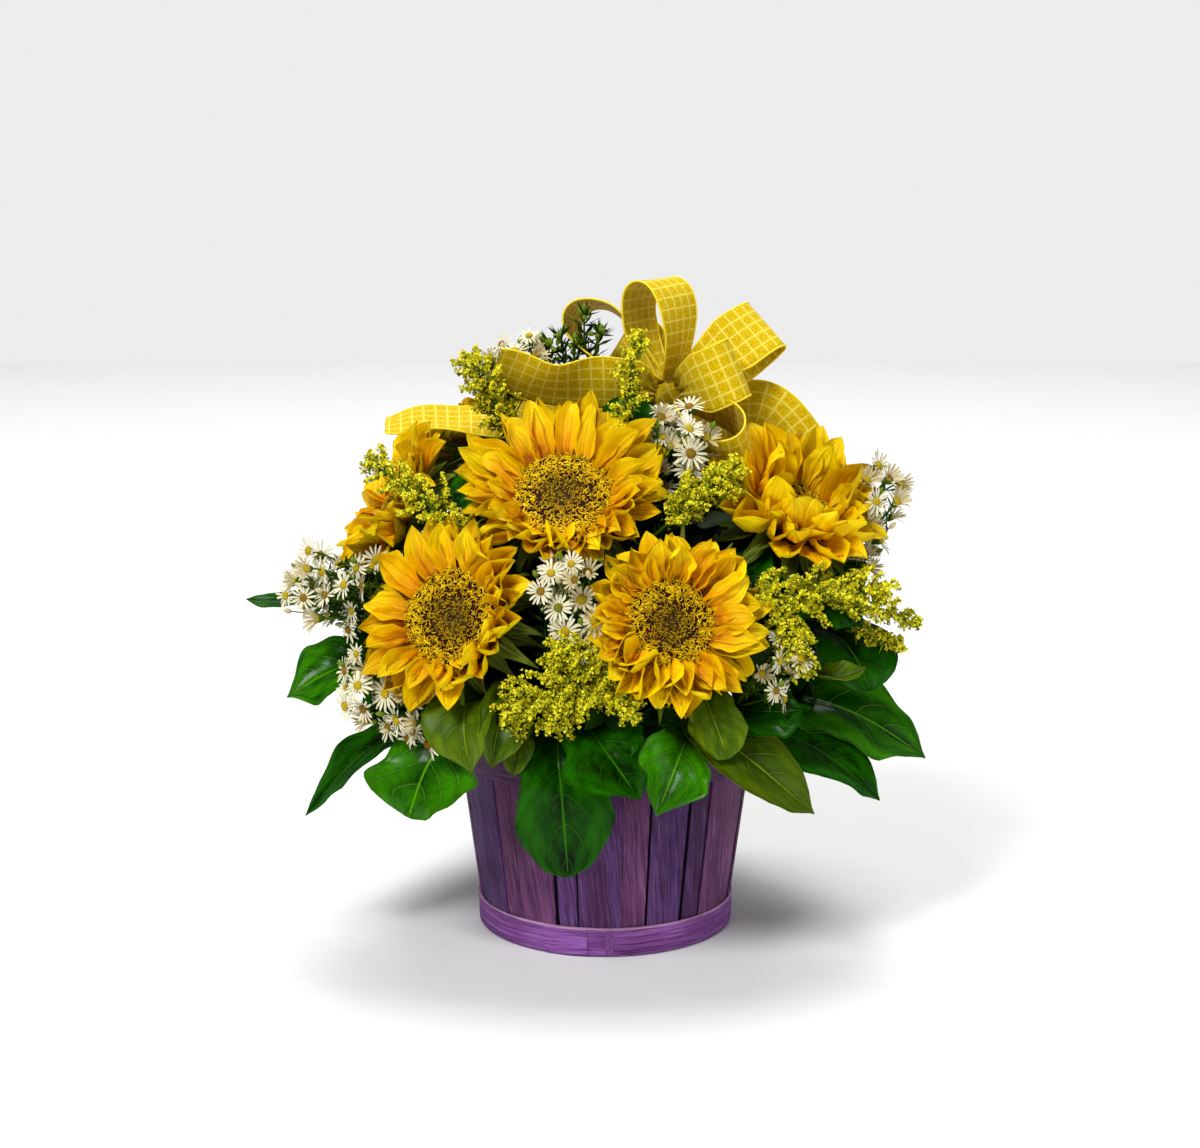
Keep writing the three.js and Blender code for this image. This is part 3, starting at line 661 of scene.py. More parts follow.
# lean is how far the petals rise from the disc, in degrees, and more_at the bearing where they rise more.
# long_at is the bearing where they are longer, by the share long_by. width is a petal's, curls how much
# petals curl, counts how many are in each row, and wide the size of the disc against a common one.
BLOOMS = {
    "top": dict(at=(-27, -78, 309), facing=(-0.02, -0.7, 0.7), reach=70, lean=37, more_at=280, more=15,
                width=19, long_by=0.26, curls=0.8, counts=(26, 24, 16), wide=1.13),
    "left": dict(at=(-97, -113, 237), facing=(-0.38, -0.82, 0.42), reach=64, lean=36, more_at=345, more=32,
                 long_at=160, long_by=0.18, curls=0.7, wide=1.12),
    "centre": dict(at=(40, -133, 238), facing=(0.14, -0.92, 0.36), reach=59, lean=32, more_at=250, more=8,
                   long_at=0, long_by=0.16),
    "right": dict(at=(124, -52, 296), facing=(0.32, -0.47, 0.82), reach=65, lean=54, more_at=240, more=8,
                  spread=30, width=21, long_by=0.16, curls=0.5, counts=(20, 19, 13)),
    "far_left": dict(at=(-140, -12, 290), facing=(-0.84, -0.22, 0.5), reach=59, lean=34,
                     more_at=0, more=10),
    "back_left": dict(at=(-84, 98, 310), facing=(-0.45, 0.66, 0.6), reach=63, lean=26,
                      more_at=270, more=14),
    "back_right": dict(at=(98, 104, 272), facing=(0.6, 0.66, 0.45), reach=64, lean=26,
                       more_at=200, more=12),
    "back": dict(at=(-18, 142, 232), facing=(-0.12, 0.92, 0.36), reach=64, lean=28,
                 more_at=300, more=12),
}
DISC_RADIUS = 29.0
NECK_LENGTH = 27.0
STEM_RADIUS, NECK_RADIUS = 5.6, 4.4
FOAM_TOP = 148.0
# A stem's foot stands in the foam at this share of its bloom's distance from the middle.
STEM_SPREAD = 0.34


def petals_of(name, at, facing, reach, lean, more_at, more, seed, spread=12, width=19, long_at=90,
              long_by=0.0, curls=0.9, counts=(22, 20, 14), wide=1.0):
    """Three overlapping rows of petals, no two alike, round one disc.

    spread is the angle, in degrees, by which one row stands up more than the row behind it.
    """
    rng = np.random.default_rng(seed)
    turned = axes_facing(facing)
    at = np.asarray(at, float)
    rows = list(zip(counts, (-spread, 0, spread), (1.0, 0.98, 0.86), (-4.5, -2.5, -0.5)))
    total = sum(row[0] for row in rows)
    bunch = Bunch("petal")
    number = 0
    for row, (count, more_lean, size, level) in enumerate(rows):
        for i in range(count):
            bearing = TURN * (i + 0.5 * (row % 2) + rng.uniform(-0.28, 0.28)) / count
            raised = more * math.cos(bearing - math.radians(more_at))
            longer = 1 + long_by * math.cos(bearing - math.radians(long_at))
            length = (reach - DISC_RADIUS * wide + 6) * size * longer * rng.uniform(0.84, 1.1)
            curl = curls * rng.choice([0.0, 1.1, -1.5, -0.6], p=[0.3, 0.22, 0.2, 0.28])
            points, shares, faces = blade_sheet(
                length, rng.uniform(0.8, 1.12) * width, PETAL_OUTLINE,
                rise=math.radians(lean + more_lean + raised + rng.uniform(-11, 11)),
                arch=math.radians(rng.uniform(-50, 12)) * curls, tip=curl,
                cup=rng.choice([0.2, 0.6, 1.0, 1.7]) * rng.uniform(0.8, 1.2),
                twist=rng.normal(0, 0.5) * curls, sway=rng.uniform(-0.16, 0.16),
                pleat=rng.uniform(0.9, 2.2), wave=rng.uniform(0.6, 2.6),
                phase=rng.uniform(0, TURN), crumple=rng.uniform(0.4, 1.3),
                ragged=rng.uniform(0.02, 0.10), rows=16, columns=11,
            )
            points = (points + [DISC_RADIUS * wide - 3, 0, level]) @ about_z(bearing)
            bunch.add(at + points @ turned, faces, "petal",
                      numbered(shares, number), bake_cell(shares, number, total))
            number += 1
    return bunch.make(f"petals_{name}", "petal", f"sunflower_head_{name}", keep_bake=True)


def curled_arm(rng, length, radius):
    """One curled style: a three-sided thread that rises, bends over sideways and hooks back."""
    t = np.linspace(0, 1, 6)
    swing = rng.uniform(0.7, 3.4)
    bend = length / swing
    path = np.stack([bend * np.sin(swing * t), bend * (1 - np.cos(swing * t)),
                     length * 0.16 * np.sin(math.pi * 0.72 * t)], -1)
    return tube(path, radius * np.array([0.8, 1, 1, 1, 0.9, 0.55]), 3)


BUD = (np.array([[1, 0, 0], [0.3, 0.95, 0], [-0.8, 0.6, 0], [-0.8, -0.6, 0], [0.3, -0.95, 0],
                 [0, 0, 1.6]]) * 0.95,
       np.array([[0, 1, 5], [1, 2, 5], [2, 3, 5], [3, 4, 5], [4, 0, 5]]))


FLORETS = 760
CORE_BUDS = 400
CORE_SHARE = 0.40
CORE_BUD_SIZE = 0.48
STYLES_PER_LOOK = 3
# Rings of styles from the core outwards: from and to, as shares of the disc's radius, the length and
# thickness of a style, how many of them each floret has, and their looks.
STYLE_RINGS = (
    (0.20, 0.44, 2.4, 0.27, 1.5, ("disc_bud", "disc_olive", "floret_orange", "disc_bud")),
    (0.44, 0.64, 3.3, 0.33, 1.5, ("disc_bud", "floret_gold", "disc_bud", "floret_orange")),
    (0.64, 1.05, 4.0, 0.39, 2.0, ("floret_gold", "disc_bud", "floret_lemon", "floret_orange",
                                  "floret_gold")),
)


def spiral(count, radius):
    """Places in a sunflower's spiral: their distances from the middle and their bearings."""
    index = np.arange(count) + 0.5
    return radius * np.sqrt(index / count), index * GOLDEN_ANGLE


def lying(up, bearing):
    """Axes for a style whose first axis runs at a bearing on the disc, with up as its height."""
    ahead = np.array([math.cos(bearing), math.sin(bearing), 0.0])
    ahead = unit(ahead - up * (ahead @ up))
    return np.array([ahead, np.cross(up, ahead), up])


def disc_dome(r):
    """The disc's height at a distance from its middle, where it is a little hollow."""
    return 4.5 - 3.5 * (r / DISC_RADIUS) ** 2 - 1.6 * np.exp(-((r / 8) ** 2))


def disc_of(name, at, facing, seed, wide=1.0):
    """The disc: a dark dome, spirals of open florets with curled styles, and a core of buds."""
    rng = np.random.default_rng(seed + 100)
    turned = axes_facing(facing, rng.uniform(0, TURN)) * wide
    at = np.asarray(at, float)
    bunch = Bunch("disc_dark", "disc_olive", "disc_bud", "floret_gold", "floret_orange",
                  "floret_lemon")
    radii = np.array([0.02, 5, 10, 13.5, 18, 22, 26, 29, 30.5, 29.5])
    heights = np.append(disc_dome(radii[:-2]), [-3, -7])
    turn = np.arange(36) * TURN / 36
    rings = np.stack([radii[:, None] * np.cos(turn), radii[:, None] * np.sin(turn),
                      np.broadcast_to(heights[:, None], (len(radii), 36))], -1)
    bunch.add(at + rings.reshape(-1, 3) @ turned, grid_faces(len(radii), 36, closed=True), "disc_dark")
    r, bearing = spiral(FLORETS, DISC_RADIUS)
    spots = np.stack([r * np.cos(bearing), r * np.sin(bearing), disc_dome(r)], -1)
    tilt = unit(np.stack([spots[:, 0], spots[:, 1], 2.6 * DISC_RADIUS + 0 * r], -1))
    blurred = r / DISC_RADIUS + rng.normal(0, 0.05, len(r))
    fine_r, fine_bearing = spiral(CORE_BUDS, DISC_RADIUS * CORE_SHARE)
    finest = np.stack([fine_r * np.cos(fine_bearing), fine_r * np.sin(fine_bearing),
                       disc_dome(fine_r)], -1)
    small = np.broadcast_to(np.eye(3) * CORE_BUD_SIZE, (len(finest), 3, 3))
    pick = rng.random(len(finest))
    core = (("disc_bud", 0, 0.34), ("disc_olive", 0.34, 0.8), ("floret_orange", 0.8, 0.86))
    for look, mine in in_bands(pick, core):
        bunch.copies(BUD, at + finest[mine] @ turned, small[mine] @ turned, look)
    for low, high, length, radius, each, looks in STYLE_RINGS:
        hosts = np.nonzero((blurred >= low) & (blurred < high))[0]
        kinds = len(looks) * STYLES_PER_LOOK
        for k in range(kinds):
            mine = hosts[rng.random(len(hosts)) < each / kinds]
            lies = bearing[mine] + rng.normal(0, 0.9, len(mine)) + math.pi * (rng.random(len(mine)) < 0.3)
            turns = np.array([lying(n, turn) for n, turn in zip(tilt[mine], lies)])
            size = rng.uniform(0.8, 1.15, len(mine))
            base = spots[mine] + tilt[mine] * rng.uniform(0.5, 1.3, (len(mine), 1))
            bunch.copies(curled_arm(rng, length, radius), at + base @ turned,
                         turns * size[:, None, None] @ turned, looks[k % len(looks)])
    return bunch.make(f"disc_{name}", "petal", f"sunflower_head_{name}")


# Each row of bracts: how many, the angle they leave the cup at, and their height on it.
BRACT_ROWS = ((14, 0, -9.0), (12, -30, -12.0))


def bracts_of(name, at, facing, seed):
    """The green cup behind a bloom and its two rows of long pointed bracts."""
    rng = np.random.default_rng(seed + 200)
    turned = axes_facing(facing)
    at = np.asarray(at, float)
    bunch = Bunch("bract", "stem")
    radii = np.array([4.2, 6, 12, 22, 30, 31, 27])
    heights = np.array([-NECK_LENGTH, -NECK_LENGTH * 0.8, -19, -14, -8.5, -5, -3])
    turn = np.arange(24) * TURN / 24
    uneven = 1 + 0.04 * np.cos(turn * 8)
    rings = np.stack([radii[:, None] * np.cos(turn) * uneven, radii[:, None] * np.sin(turn) * uneven,
                      np.broadcast_to(heights[:, None], (len(radii), 24))], -1)
    bunch.add(at + rings.reshape(-1, 3) @ turned, grid_faces(len(radii), 24, closed=True), "stem")
    number, total = 0, sum(row[0] for row in BRACT_ROWS)
    for count, rise, level in BRACT_ROWS:
        for i in range(count):
            bearing = TURN * (i + rng.uniform(-0.3, 0.3)) / count
            points, shares, faces = blade_sheet(
                rng.uniform(32, 46), rng.uniform(10, 14), BRACT_OUTLINE,
                rise=math.radians(rise + rng.uniform(-12, 12)), arch=math.radians(rng.uniform(-50, 15)),
                tip=rng.uniform(-1.6, 0.8), cup=rng.uniform(0.1, 0.9), twist=rng.uniform(-0.9, 0.9),
                sway=rng.uniform(-0.15, 0.15), wave=0.8, phase=rng.uniform(0, TURN), rows=10, columns=5,
            )
            points = points + [25, 0, level]
            bunch.add(at + points @ about_z(bearing) @ turned, faces, "bract",
                      numbered(shares, number), bake_cell(shares, number, total))
            number += 1
    return bunch.make(f"bracts_{name}", "stem", f"sunflower_head_{name}", keep_bake=True)


def bezier(a, b, c, d, steps):
    t = np.linspace(0, 1, steps)[:, None]
    return a * (1 - t) ** 3 + 3 * b * t * (1 - t) ** 2 + 3 * c * t**2 * (1 - t) + d * t**3


def stem_of(name, at, facing):
    """A ribbed, tapering stem from the foam up to the neck of a bloom."""
    at, facing = np.asarray(at, float), unit(facing)
    foot = np.array([at[0] * STEM_SPREAD, at[1] * STEM_SPREAD, FOAM_TOP])
    neck = at - facing * NECK_LENGTH
    rise = np.linalg.norm(neck - foot) * 0.4
    path = bezier(foot, foot + UP * rise, neck - facing * rise, neck, 18)
    radii = np.linspace(STEM_RADIUS, NECK_RADIUS, 18) * (1 + 0.05 * np.sin(np.arange(18) * 1.9))
    bunch = Bunch("stem")
    bunch.add(*tube(path, radii, 14, ribs=0.05), "stem")
    return bunch.make(f"stem_{name}", "stem", f"sunflower_stem_{name}")


for number, (name, bloom) in enumerate(BLOOMS.items()):
    petals_of(name, seed=11 + number, **bloom)
    disc_of(name, bloom["at"], bloom["facing"], 11 + number, bloom.get("wide", 1.0))
    bracts_of(name, bloom["at"], bloom["facing"], 11 + number)
    stem_of(name, bloom["at"], bloom["facing"])


# ---- broad leaves ----

# base, bend and tip lead the midrib, and face is the way the blade looks. lobes is the share by which
# its outline swells and shrinks, and wave the height of its wavy edge.
LEAVES = {
    "front": dict(base=(-32, -104, 160), bend=(-30, -142, 158), tip=(-24, -136, 72),
                  face=(0.1, -0.9, 0.4), width=61, outline=SPOON_OUTLINE, lobes=0.06),
    "front_right": dict(base=(-16, -104, 170), bend=(-6, -150, 170), tip=(22, -157, 130),
                        face=(0.1, -0.6, 0.8), width=66, lobes=0.2, wave=3.4),
    "front_tip": dict(base=(54, -100, 160), bend=(52, -146, 168), tip=(32, -153, 118),
                      face=(0.25, -0.7, 0.6), width=46, lobes=0.16, look="leaf_bright"),
    "long_right": dict(base=(50, -102, 172), bend=(84, -146, 164), tip=(134, -128, 112),
                       face=(0.3, -0.6, 0.72), width=54, look="leaf_pale", lobes=0.06),
    "low_right": dict(base=(92, -72, 158), bend=(140, -94, 156), tip=(180, -92, 110),
                      face=(0.4, -0.45, 0.8), width=58),
    "right": dict(base=(108, -44, 170), bend=(160, -64, 176), tip=(214, -54, 128),
                  face=(0.3, -0.55, 0.75), width=66, lobes=0.16, look="leaf_bright"),
    "upper_right": dict(base=(126, -30, 214), bend=(160, -62, 226), tip=(174, -76, 180),
                        face=(0.4, -0.7, 0.6), width=62, outline=SPOON_OUTLINE),
    "low_left": dict(base=(-88, -88, 160), bend=(-112, -124, 168), tip=(-127, -124, 108),
                     face=(-0.3, -0.7, 0.6), width=70, outline=SPOON_OUTLINE, lobes=0.2, wave=3.4,
                     look="leaf_bright"),
    "long_left": dict(base=(-106, -52, 160), bend=(-160, -64, 150), tip=(-200, -68, 92),
                      face=(-0.35, -0.4, 0.85), width=40, lobes=0.16),
    "left": dict(base=(-122, -34, 190), bend=(-168, -58, 206), tip=(-211, -62, 172),
                 face=(-0.35, -0.6, 0.7), width=54, lobes=0.24, wave=4.0, look="leaf_bright"),
    "far_left": dict(base=(-128, -24, 236), bend=(-196, -52, 232), tip=(-238, -50, 236),
                     face=(-0.1, -0.4, 0.9), width=28),
    "pale_front_left": dict(base=(-72, -100, 178), bend=(-100, -142, 204), tip=(-85, -150, 145),
                            face=(-0.35, -0.75, 0.5), width=50, fold=0.35, look="leaf_pale"),
}
# Smaller leaves that show between the others: dark ones, and olive ones seen from beneath.
BETWEEN = [
    dict(base=(60, -110, 196), bend=(66, -142, 186), tip=(78, -146, 154),
         face=(0.3, -0.8, 0.5), width=36, look="leaf_pale", outline=SPOON_OUTLINE),
    dict(base=(72, -92, 176), bend=(106, -124, 176), tip=(126, -120, 180),
         face=(0.1, -0.75, 0.65), width=44, wave=4.0),
    dict(base=(120, -78, 204), bend=(146, -108, 186), tip=(168, -104, 204),
         face=(0.1, -0.3, 0.9), width=24, look="leaf_pale", fold=0.6),
    dict(base=(-62, -104, 186), bend=(-66, -146, 192), tip=(-72, -148, 148),
         face=(0.5, -0.75, 0.4), width=36, look="leaf_pale", fold=0.7),
    dict(base=(-52, -112, 172), bend=(-58, -140, 164), tip=(-59, -138, 140),
         face=(0.4, -0.8, 0.4), width=20, look="leaf_pale", fold=0.6),
    dict(base=(76, -50, 250), bend=(92, -84, 276), tip=(98, -98, 236),
         face=(0.1, -0.85, 0.5), width=44),
    dict(base=(-6, -96, 158), bend=(-2, -134, 176), tip=(10, -146, 146),
         face=(0, -0.8, 0.6), width=44),
    dict(base=(-110, -60, 190), bend=(-138, -96, 196), tip=(-150, -98, 160),
         face=(-0.3, -0.8, 0.5), width=38),
    dict(base=(118, -60, 232), bend=(150, -76, 250), tip=(168, -72, 222),
         face=(0.3, -0.7, 0.6), width=36),
    dict(base=(-70, -60, 270), bend=(-98, -84, 284), tip=(-112, -84, 262),
         face=(-0.2, -0.8, 0.5), width=34),
    dict(base=(92, -30, 252), bend=(116, -56, 272), tip=(126, -72, 248),
         face=(0.2, -0.8, 0.5), width=44),
    dict(base=(116, -20, 246), bend=(150, -40, 262), tip=(168, -50, 236),
         face=(0.3, -0.7, 0.6), width=46),
    dict(base=(-120, -10, 232), bend=(-152, -40, 256), tip=(-168, -52, 238),
         face=(-0.3, -0.7, 0.6), width=46),
    dict(base=(-60, -40, 300), bend=(-84, -60, 320), tip=(-98, -62, 300),
         face=(-0.2, -0.8, 0.5), width=36),
    dict(base=(2, -20, 330), bend=(14, -34, 362), tip=(34, -44, 344),
         face=(0.1, -0.9, 0.4), width=40),
    dict(base=(40, -30, 300), bend=(54, -50, 326), tip=(66, -58, 306),
         face=(0.1, -0.9, 0.4), width=42),
    dict(base=(30, -20, 306), bend=(36, -34, 340), tip=(44, -42, 318),
         face=(0.1, -0.9, 0.4), width=46),
]
LEAF_STEPS, LEAF_COLUMNS = 40, 17
LEAF_THICKNESS = 0.5


def add_leaf(bunch, base, bend, tip, face, width, rng, fold=0.2, look="leaf_top", wave=2.2,
             lobes=0.09, outline=LEAF_OUTLINE, number=0, total=1):
    """A glossy leaf folded along its midrib, quilted between its veins, wavy at its edge."""
    base, bend, tip, face = (np.asarray(x, float) for x in (base, bend, tip, face))
    u = np.linspace(0, 1, LEAF_STEPS)
    t = u[:, None]
    path = base * (1 - t) ** 2 + 2 * bend * t * (1 - t) + tip * t**2
    ahead = unit(np.gradient(path, axis=0))
    across = unit(np.cross(ahead, face))
    normal = np.cross(across, ahead)
    v = np.linspace(-1, 1, LEAF_COLUMNS)
    half = 0.5 * width * np.interp(u, *outline)
    side = np.abs(v)[None]
    swell = [np.sin(u * rng.uniform(9, 15) + rng.uniform(0, TURN)) * lobes
             + np.sin(u * rng.uniform(26, 34) + rng.uniform(0, TURN)) * lobes * 0.3 for _ in (0, 1)]
    swell = np.where(v[None] < 0, swell[0][:, None], swell[1][:, None])
    quilt = np.abs(np.sin(math.pi * (u[:, None] * 7.5 - side**1.4 * 2.6))) * side ** 0.5
    ripple = np.sin(u[:, None] * rng.uniform(8, 12) + rng.uniform(0, TURN) + v[None] * 0.9)
    slow = np.sin(u[:, None] * 4 + rng.uniform(0, TURN) + v[None] * 1.5)
    lift = (half[:, None] * fold * side - 0.3 * half[:, None] * fold * side**3
            + quilt * 0.5 + wave * ripple * side**2 + wave * 0.8 * slow * side
            - 1.1 * np.exp(-((v[None] / 0.09) ** 2)))
    taper = np.clip(np.minimum(u, 1 - u) * 12, 0, 1)[:, None]
    spread = half[:, None] * v[None] * (1 + swell)
    top = (path[:, None] + across[:, None] * spread[..., None]
           + normal[:, None] * (lift * taper)[..., None])
    under = top - normal[:, None] * (LEAF_THICKNESS * (0.3 + 0.7 * taper))[..., None]
    shares = np.stack(np.broadcast_arrays((v[None] + 1) / 2, u[:, None]), -1).reshape(-1, 2)
    faces = grid_faces(LEAF_STEPS, LEAF_COLUMNS)
    count = LEAF_STEPS * LEAF_COLUMNS
    ring = np.concatenate([
        np.arange(LEAF_COLUMNS),
        np.arange(1, LEAF_STEPS) * LEAF_COLUMNS + LEAF_COLUMNS - 1,
        count - 1 - np.arange(1, LEAF_COLUMNS),
        np.arange(LEAF_STEPS - 2, 0, -1) * LEAF_COLUMNS,
    ])
    after = np.roll(ring, -1)
    rim = np.stack([ring, ring + count, after + count, after], -1)
    both = np.concatenate([top.reshape(-1, 3), under.reshape(-1, 3)])
    maps = np.concatenate([numbered(shares, int(rng.integers(1, 60)))] * 2)
    halves = np.concatenate([bake_cell(shares, 2 * number + k, 2 * total) for k in (0, 1)])
    skins = {look: [faces[:, ::-1], rim], "leaf_under": [faces + count]}
    bunch.add(both, skins, None, maps, halves)
    petiole = bow_path(base - ahead[0] * 26 - UP * 6, base + ahead[0] * 3, (0, 0, 3), 5)
    bunch.add(*tube(petiole, 1.3, 6), "leaf_under")


def broad_leaf(name, seed, **shape):
    bunch = Bunch(shape.get("look", "leaf_top"), "leaf_under")
    add_leaf(bunch, rng=np.random.default_rng(seed), **shape)
    return bunch.make(f"leaf_{name}", "leaf", f"leaf_{name}", keep_bake=True)


for number, (name, leaf) in enumerate(LEAVES.items()):
    broad_leaf(name, seed=60 + number, **leaf)
between = Bunch("leaf_top", "leaf_under", "leaf_pale")
for number, leaf in enumerate(BETWEEN):
    add_leaf(between, rng=np.random.default_rng(40 + number), number=number, total=len(BETWEEN), **leaf)
between.make("leaves_between", "leaf", "inner_foliage", keep_bake=True)


# ---- the skirt of leaves behind the basket ----


SKIRT_LEAVES = 6


def leaf_skirt(name, first, last, seed):
    """Broad leaves that hang over the rim behind, between two bearings in degrees."""
    rng = np.random.default_rng(seed)
    count = SKIRT_LEAVES
    bunch = Bunch("leaf_top", "leaf_under", "leaf_pale")
    for i, bearing in enumerate(np.radians(np.linspace(first + 7, last - 7, count))):
        out = np.array([math.cos(bearing), math.sin(bearing), 0.0])
        aside = np.array([-out[1], out[0], 0.0]) * rng.uniform(-12, 12)
        low = 100 + rng.uniform(0, 26) + 14 * (i % 2)
        base = out * 94 + UP * (158 + rng.uniform(0, 8))
        bend = out * 150 + aside + UP * (168 + 10 * (i % 2))
        tip = out * rng.uniform(166, 184) + aside * 1.6 + UP * low
        add_leaf(bunch, base, bend, tip, out * 0.6 + UP * 0.8, rng.uniform(48, 64), rng,
                 fold=rng.uniform(0.15, 0.35), look="leaf_pale" if i == 3 else "leaf_top",
                 number=i, total=count)
    return bunch.make(name, "leaf", name, keep_bake=True)


leaf_skirt("leaf_skirt_back_right", 4, 84, 81)
leaf_skirt("leaf_skirt_back_left", 96, 176, 82)


# ---- asters ----

# Each spray: where its middle runs from and to, and how far its heads spread from there.
ASTERS = {
    "top_left": ((-72, 14, 380), (-48, 18, 395), 16),
    "top": ((46, -52, 322), (50, -62, 352), 21),
    "centre": ((-8, -126, 222), (-26, -130, 266), 20),
    "left": ((-160, -62, 242), (-188, -72, 248), 27),
    "low_left": ((-112, -110, 172), (-158, -98, 190), 23),
    "right": ((160, -34, 262), (179, -34, 308), 22),
    "low_right": ((106, -120, 196), (116, -120, 216), 14),
    "back": ((68, 138, 190), (56, 150, 236), 24),
}
CROWN_HEART = np.array([0.0, 0.0, 215.0])
ASTER_GAP = 13.0
ASTER_MOST = {"top_left": 10}


def merge(parts):
    """Joins small shapes, each its points and lists of faces, into one shape."""
    points, faces, total = [], {3: [], 4: []}, 0
    for part_points, part_faces in parts:
        for f in listed(part_faces):
            faces[f.shape[1]].append(f + total)
        points.append(part_points)
        total += len(part_points)
    return np.concatenate(points), [np.concatenate(f) for f in faces.values() if f]


def aster_ray(rng, rise):
    """A ring of narrow, slightly keeled rays that vary in length and lie."""
    rays = []
    count = int(rng.integers(15, 19))
    for i in range(count):
        points, _, faces = blade_sheet(
            rng.uniform(8.0, 10.0), rng.uniform(1.9, 2.5), ([0, 0.5, 0.85, 1], [0.4, 0.8, 1.0, 0.5]),
            rise=math.radians(rise + rng.uniform(-9, 9)), arch=math.radians(rng.uniform(-35, 15)),
            cup=0.45, twist=rng.uniform(-0.3, 0.3), sway=rng.uniform(-0.08, 0.08), rows=4, columns=3,
        )
        bearing = TURN * (i + rng.uniform(-0.2, 0.2)) / count
        rays.append(((points + [2.2, 0, 0.2 * (i % 2)]) @ about_z(bearing), faces))
    return merge(rays)


def lathe(radii, heights, sides):
    """A small turned shape about Z, closed at its top."""
    turn = np.arange(sides) * TURN / sides
    points = np.stack([np.outer(radii, np.cos(turn)), np.outer(radii, np.sin(turn)),
                       np.broadcast_to(np.asarray(heights, float)[:, None], (len(radii), sides))], -1)
    around = np.arange(sides)
    last = (len(radii) - 1) * sides
    cap = np.stack([last + around, last + (around + 1) % sides, np.full(sides, len(radii) * sides)], -1)
    points = np.concatenate([points.reshape(-1, 3), [[0, 0, heights[-1] + 0.1 * radii[-1]]]])
    return points, [grid_faces(len(radii), sides, closed=True), cap]


ASTER_EYE = lathe([2.6, 3.3, 2.7, 1.3], [0, 0.9, 1.9, 2.4], 10)
ASTER_CUP = lathe([0.6, 1.5, 2.6, 2.7], [-5.2, -4.4, -1.2, 0.0], 8)
ASTER_BUD = lathe([0.5, 1.5, 1.9, 1.3, 0.4], [-2.4, -1.4, 0.6, 2.4, 3.6], 6)
NEEDLE = (np.array([[0, -0.25, 0], [0, 0.25, 0], [4.5, -0.9, 0.5], [4.5, 0, 0.1], [4.5, 0.9, 0.5],
                    [9.5, 0, 1.4]], float),
          [np.array([[0, 2, 3], [0, 3, 1], [1, 3, 4], [2, 5, 3], [3, 5, 4]])])


def pick_spread(points, gap, most):
    """Keeps points, in the order given, that are at least a gap apart."""
    kept = []
    for point in points:
        if all(np.linalg.norm(point - other) > gap for other in kept):
            kept.append(point)
        if len(kept) == most:
            break
    return np.array(kept)


def aster_spray(name, start, end, radius, seed):
    """A branching spray: white daisies on thin stems, with buds and needle leaves between."""
    rng = np.random.default_rng(seed)
    start, end = np.asarray(start, float), np.asarray(end, float)
    outward = unit((start + end) / 2 - CROWN_HEART)
    bunch = Bunch("aster_white", "aster_cream", "aster_eye", "aster_eye_dark", "sprig", "sprig_dark",
                  "sprig_pale")
    tries = unit(rng.normal(size=(900, 3)))
    tries = tries[tries @ outward > -0.4]
    spots = (start + (end - start) * rng.random((len(tries), 1))
             + tries * radius * rng.uniform(0.6, 0.95, (len(tries), 1)))
    heads = pick_spread(spots, ASTER_GAP, ASTER_MOST.get(name, 40))
    root = start - (end - start) * 0.35 - outward * radius * 1.9 - UP * 14
    forward = [0, -0.5 if start[1] < 60 else 0.2, 0]
    faces_of = unit(unit(heads - root) * 0.8 + 0.3 * outward + forward + rng.normal(0, 0.34, heads.shape))
    turns = np.array([axes_facing(f, rng.uniform(0, TURN)) for f in faces_of])
    size = rng.uniform(0.72, 1.08, len(heads))[:, None, None]
    kind = rng.integers(0, 4, len(heads))
    for number, rise in enumerate((4, 14, 24, 52)):
        mine = kind == number
        if mine.any():
            bunch.copies(aster_ray(rng, rise), heads[mine], (turns * size)[mine],
                         "aster_cream" if number == 3 else "aster_white")
    dark = rng.random(len(heads)) < 0.3
    for look, mine in (("aster_eye", ~dark), ("aster_eye_dark", dark)):
        if mine.any():
            bunch.copies(ASTER_EYE, heads[mine], (turns * size)[mine], look)
    bunch.copies(ASTER_CUP, heads, turns * size, "sprig")
    needle_spots, needle_turns = [], []
    for head, face in zip(heads, faces_of):
        back = head - face * 5
        fork = root + (back - root) * rng.uniform(0.25, 0.5) + rng.normal(0, 4, 3)
        path = bezier(root, fork, back - face * 12, back, 9)
        bunch.add(*tube(path, np.linspace(1.1, 0.6, 9), 4), "sprig")
        for t in rng.uniform(0.4, 0.99, 22):
            spot = path[0] + (path[-1] - path[0]) * t
            nearest = path[min(8, int(round(t * 8)))]
            needle_spots.append(nearest * 0.8 + spot * 0.2)
            needle_turns.append(leaf_turn(rng, unit(face * 0.5 + unit(rng.normal(size=3)))))
    buds = pick_spread(start + (end - start) * rng.random((200, 1))
                       + unit(unit(rng.normal(size=(200, 3))) + outward * 0.4) * radius * 0.95, 11, 12)
    for bud in buds:
        path = bezier(root, (root + bud) / 2 + rng.normal(0, 5, 3), bud - unit(bud - root) * 8, bud, 6)
        bunch.add(*tube(path, 0.5, 3), "sprig")
    bud_turns = np.array([axes_facing(unit(bud - root)) for bud in buds])
    half = len(buds) // 2
    bunch.copies(ASTER_BUD, buds[:half], bud_turns[:half], "sprig_pale")
    bunch.copies(ASTER_BUD, buds[half:], bud_turns[half:], "aster_cream")
    needle_spots, needle_turns = np.array(needle_spots), np.array(needle_turns)
    shade = rng.random(len(needle_spots))
    greens = (("sprig", 0, 0.5), ("sprig_dark", 0.5, 0.8), ("sprig_pale", 0.8, 1.1))
    for look, mine in in_bands(shade, greens):
        bunch.copies(NEEDLE, needle_spots[mine], needle_turns[mine], look)
    return bunch.make(f"aster_{name}", "aster", f"aster_{name}")


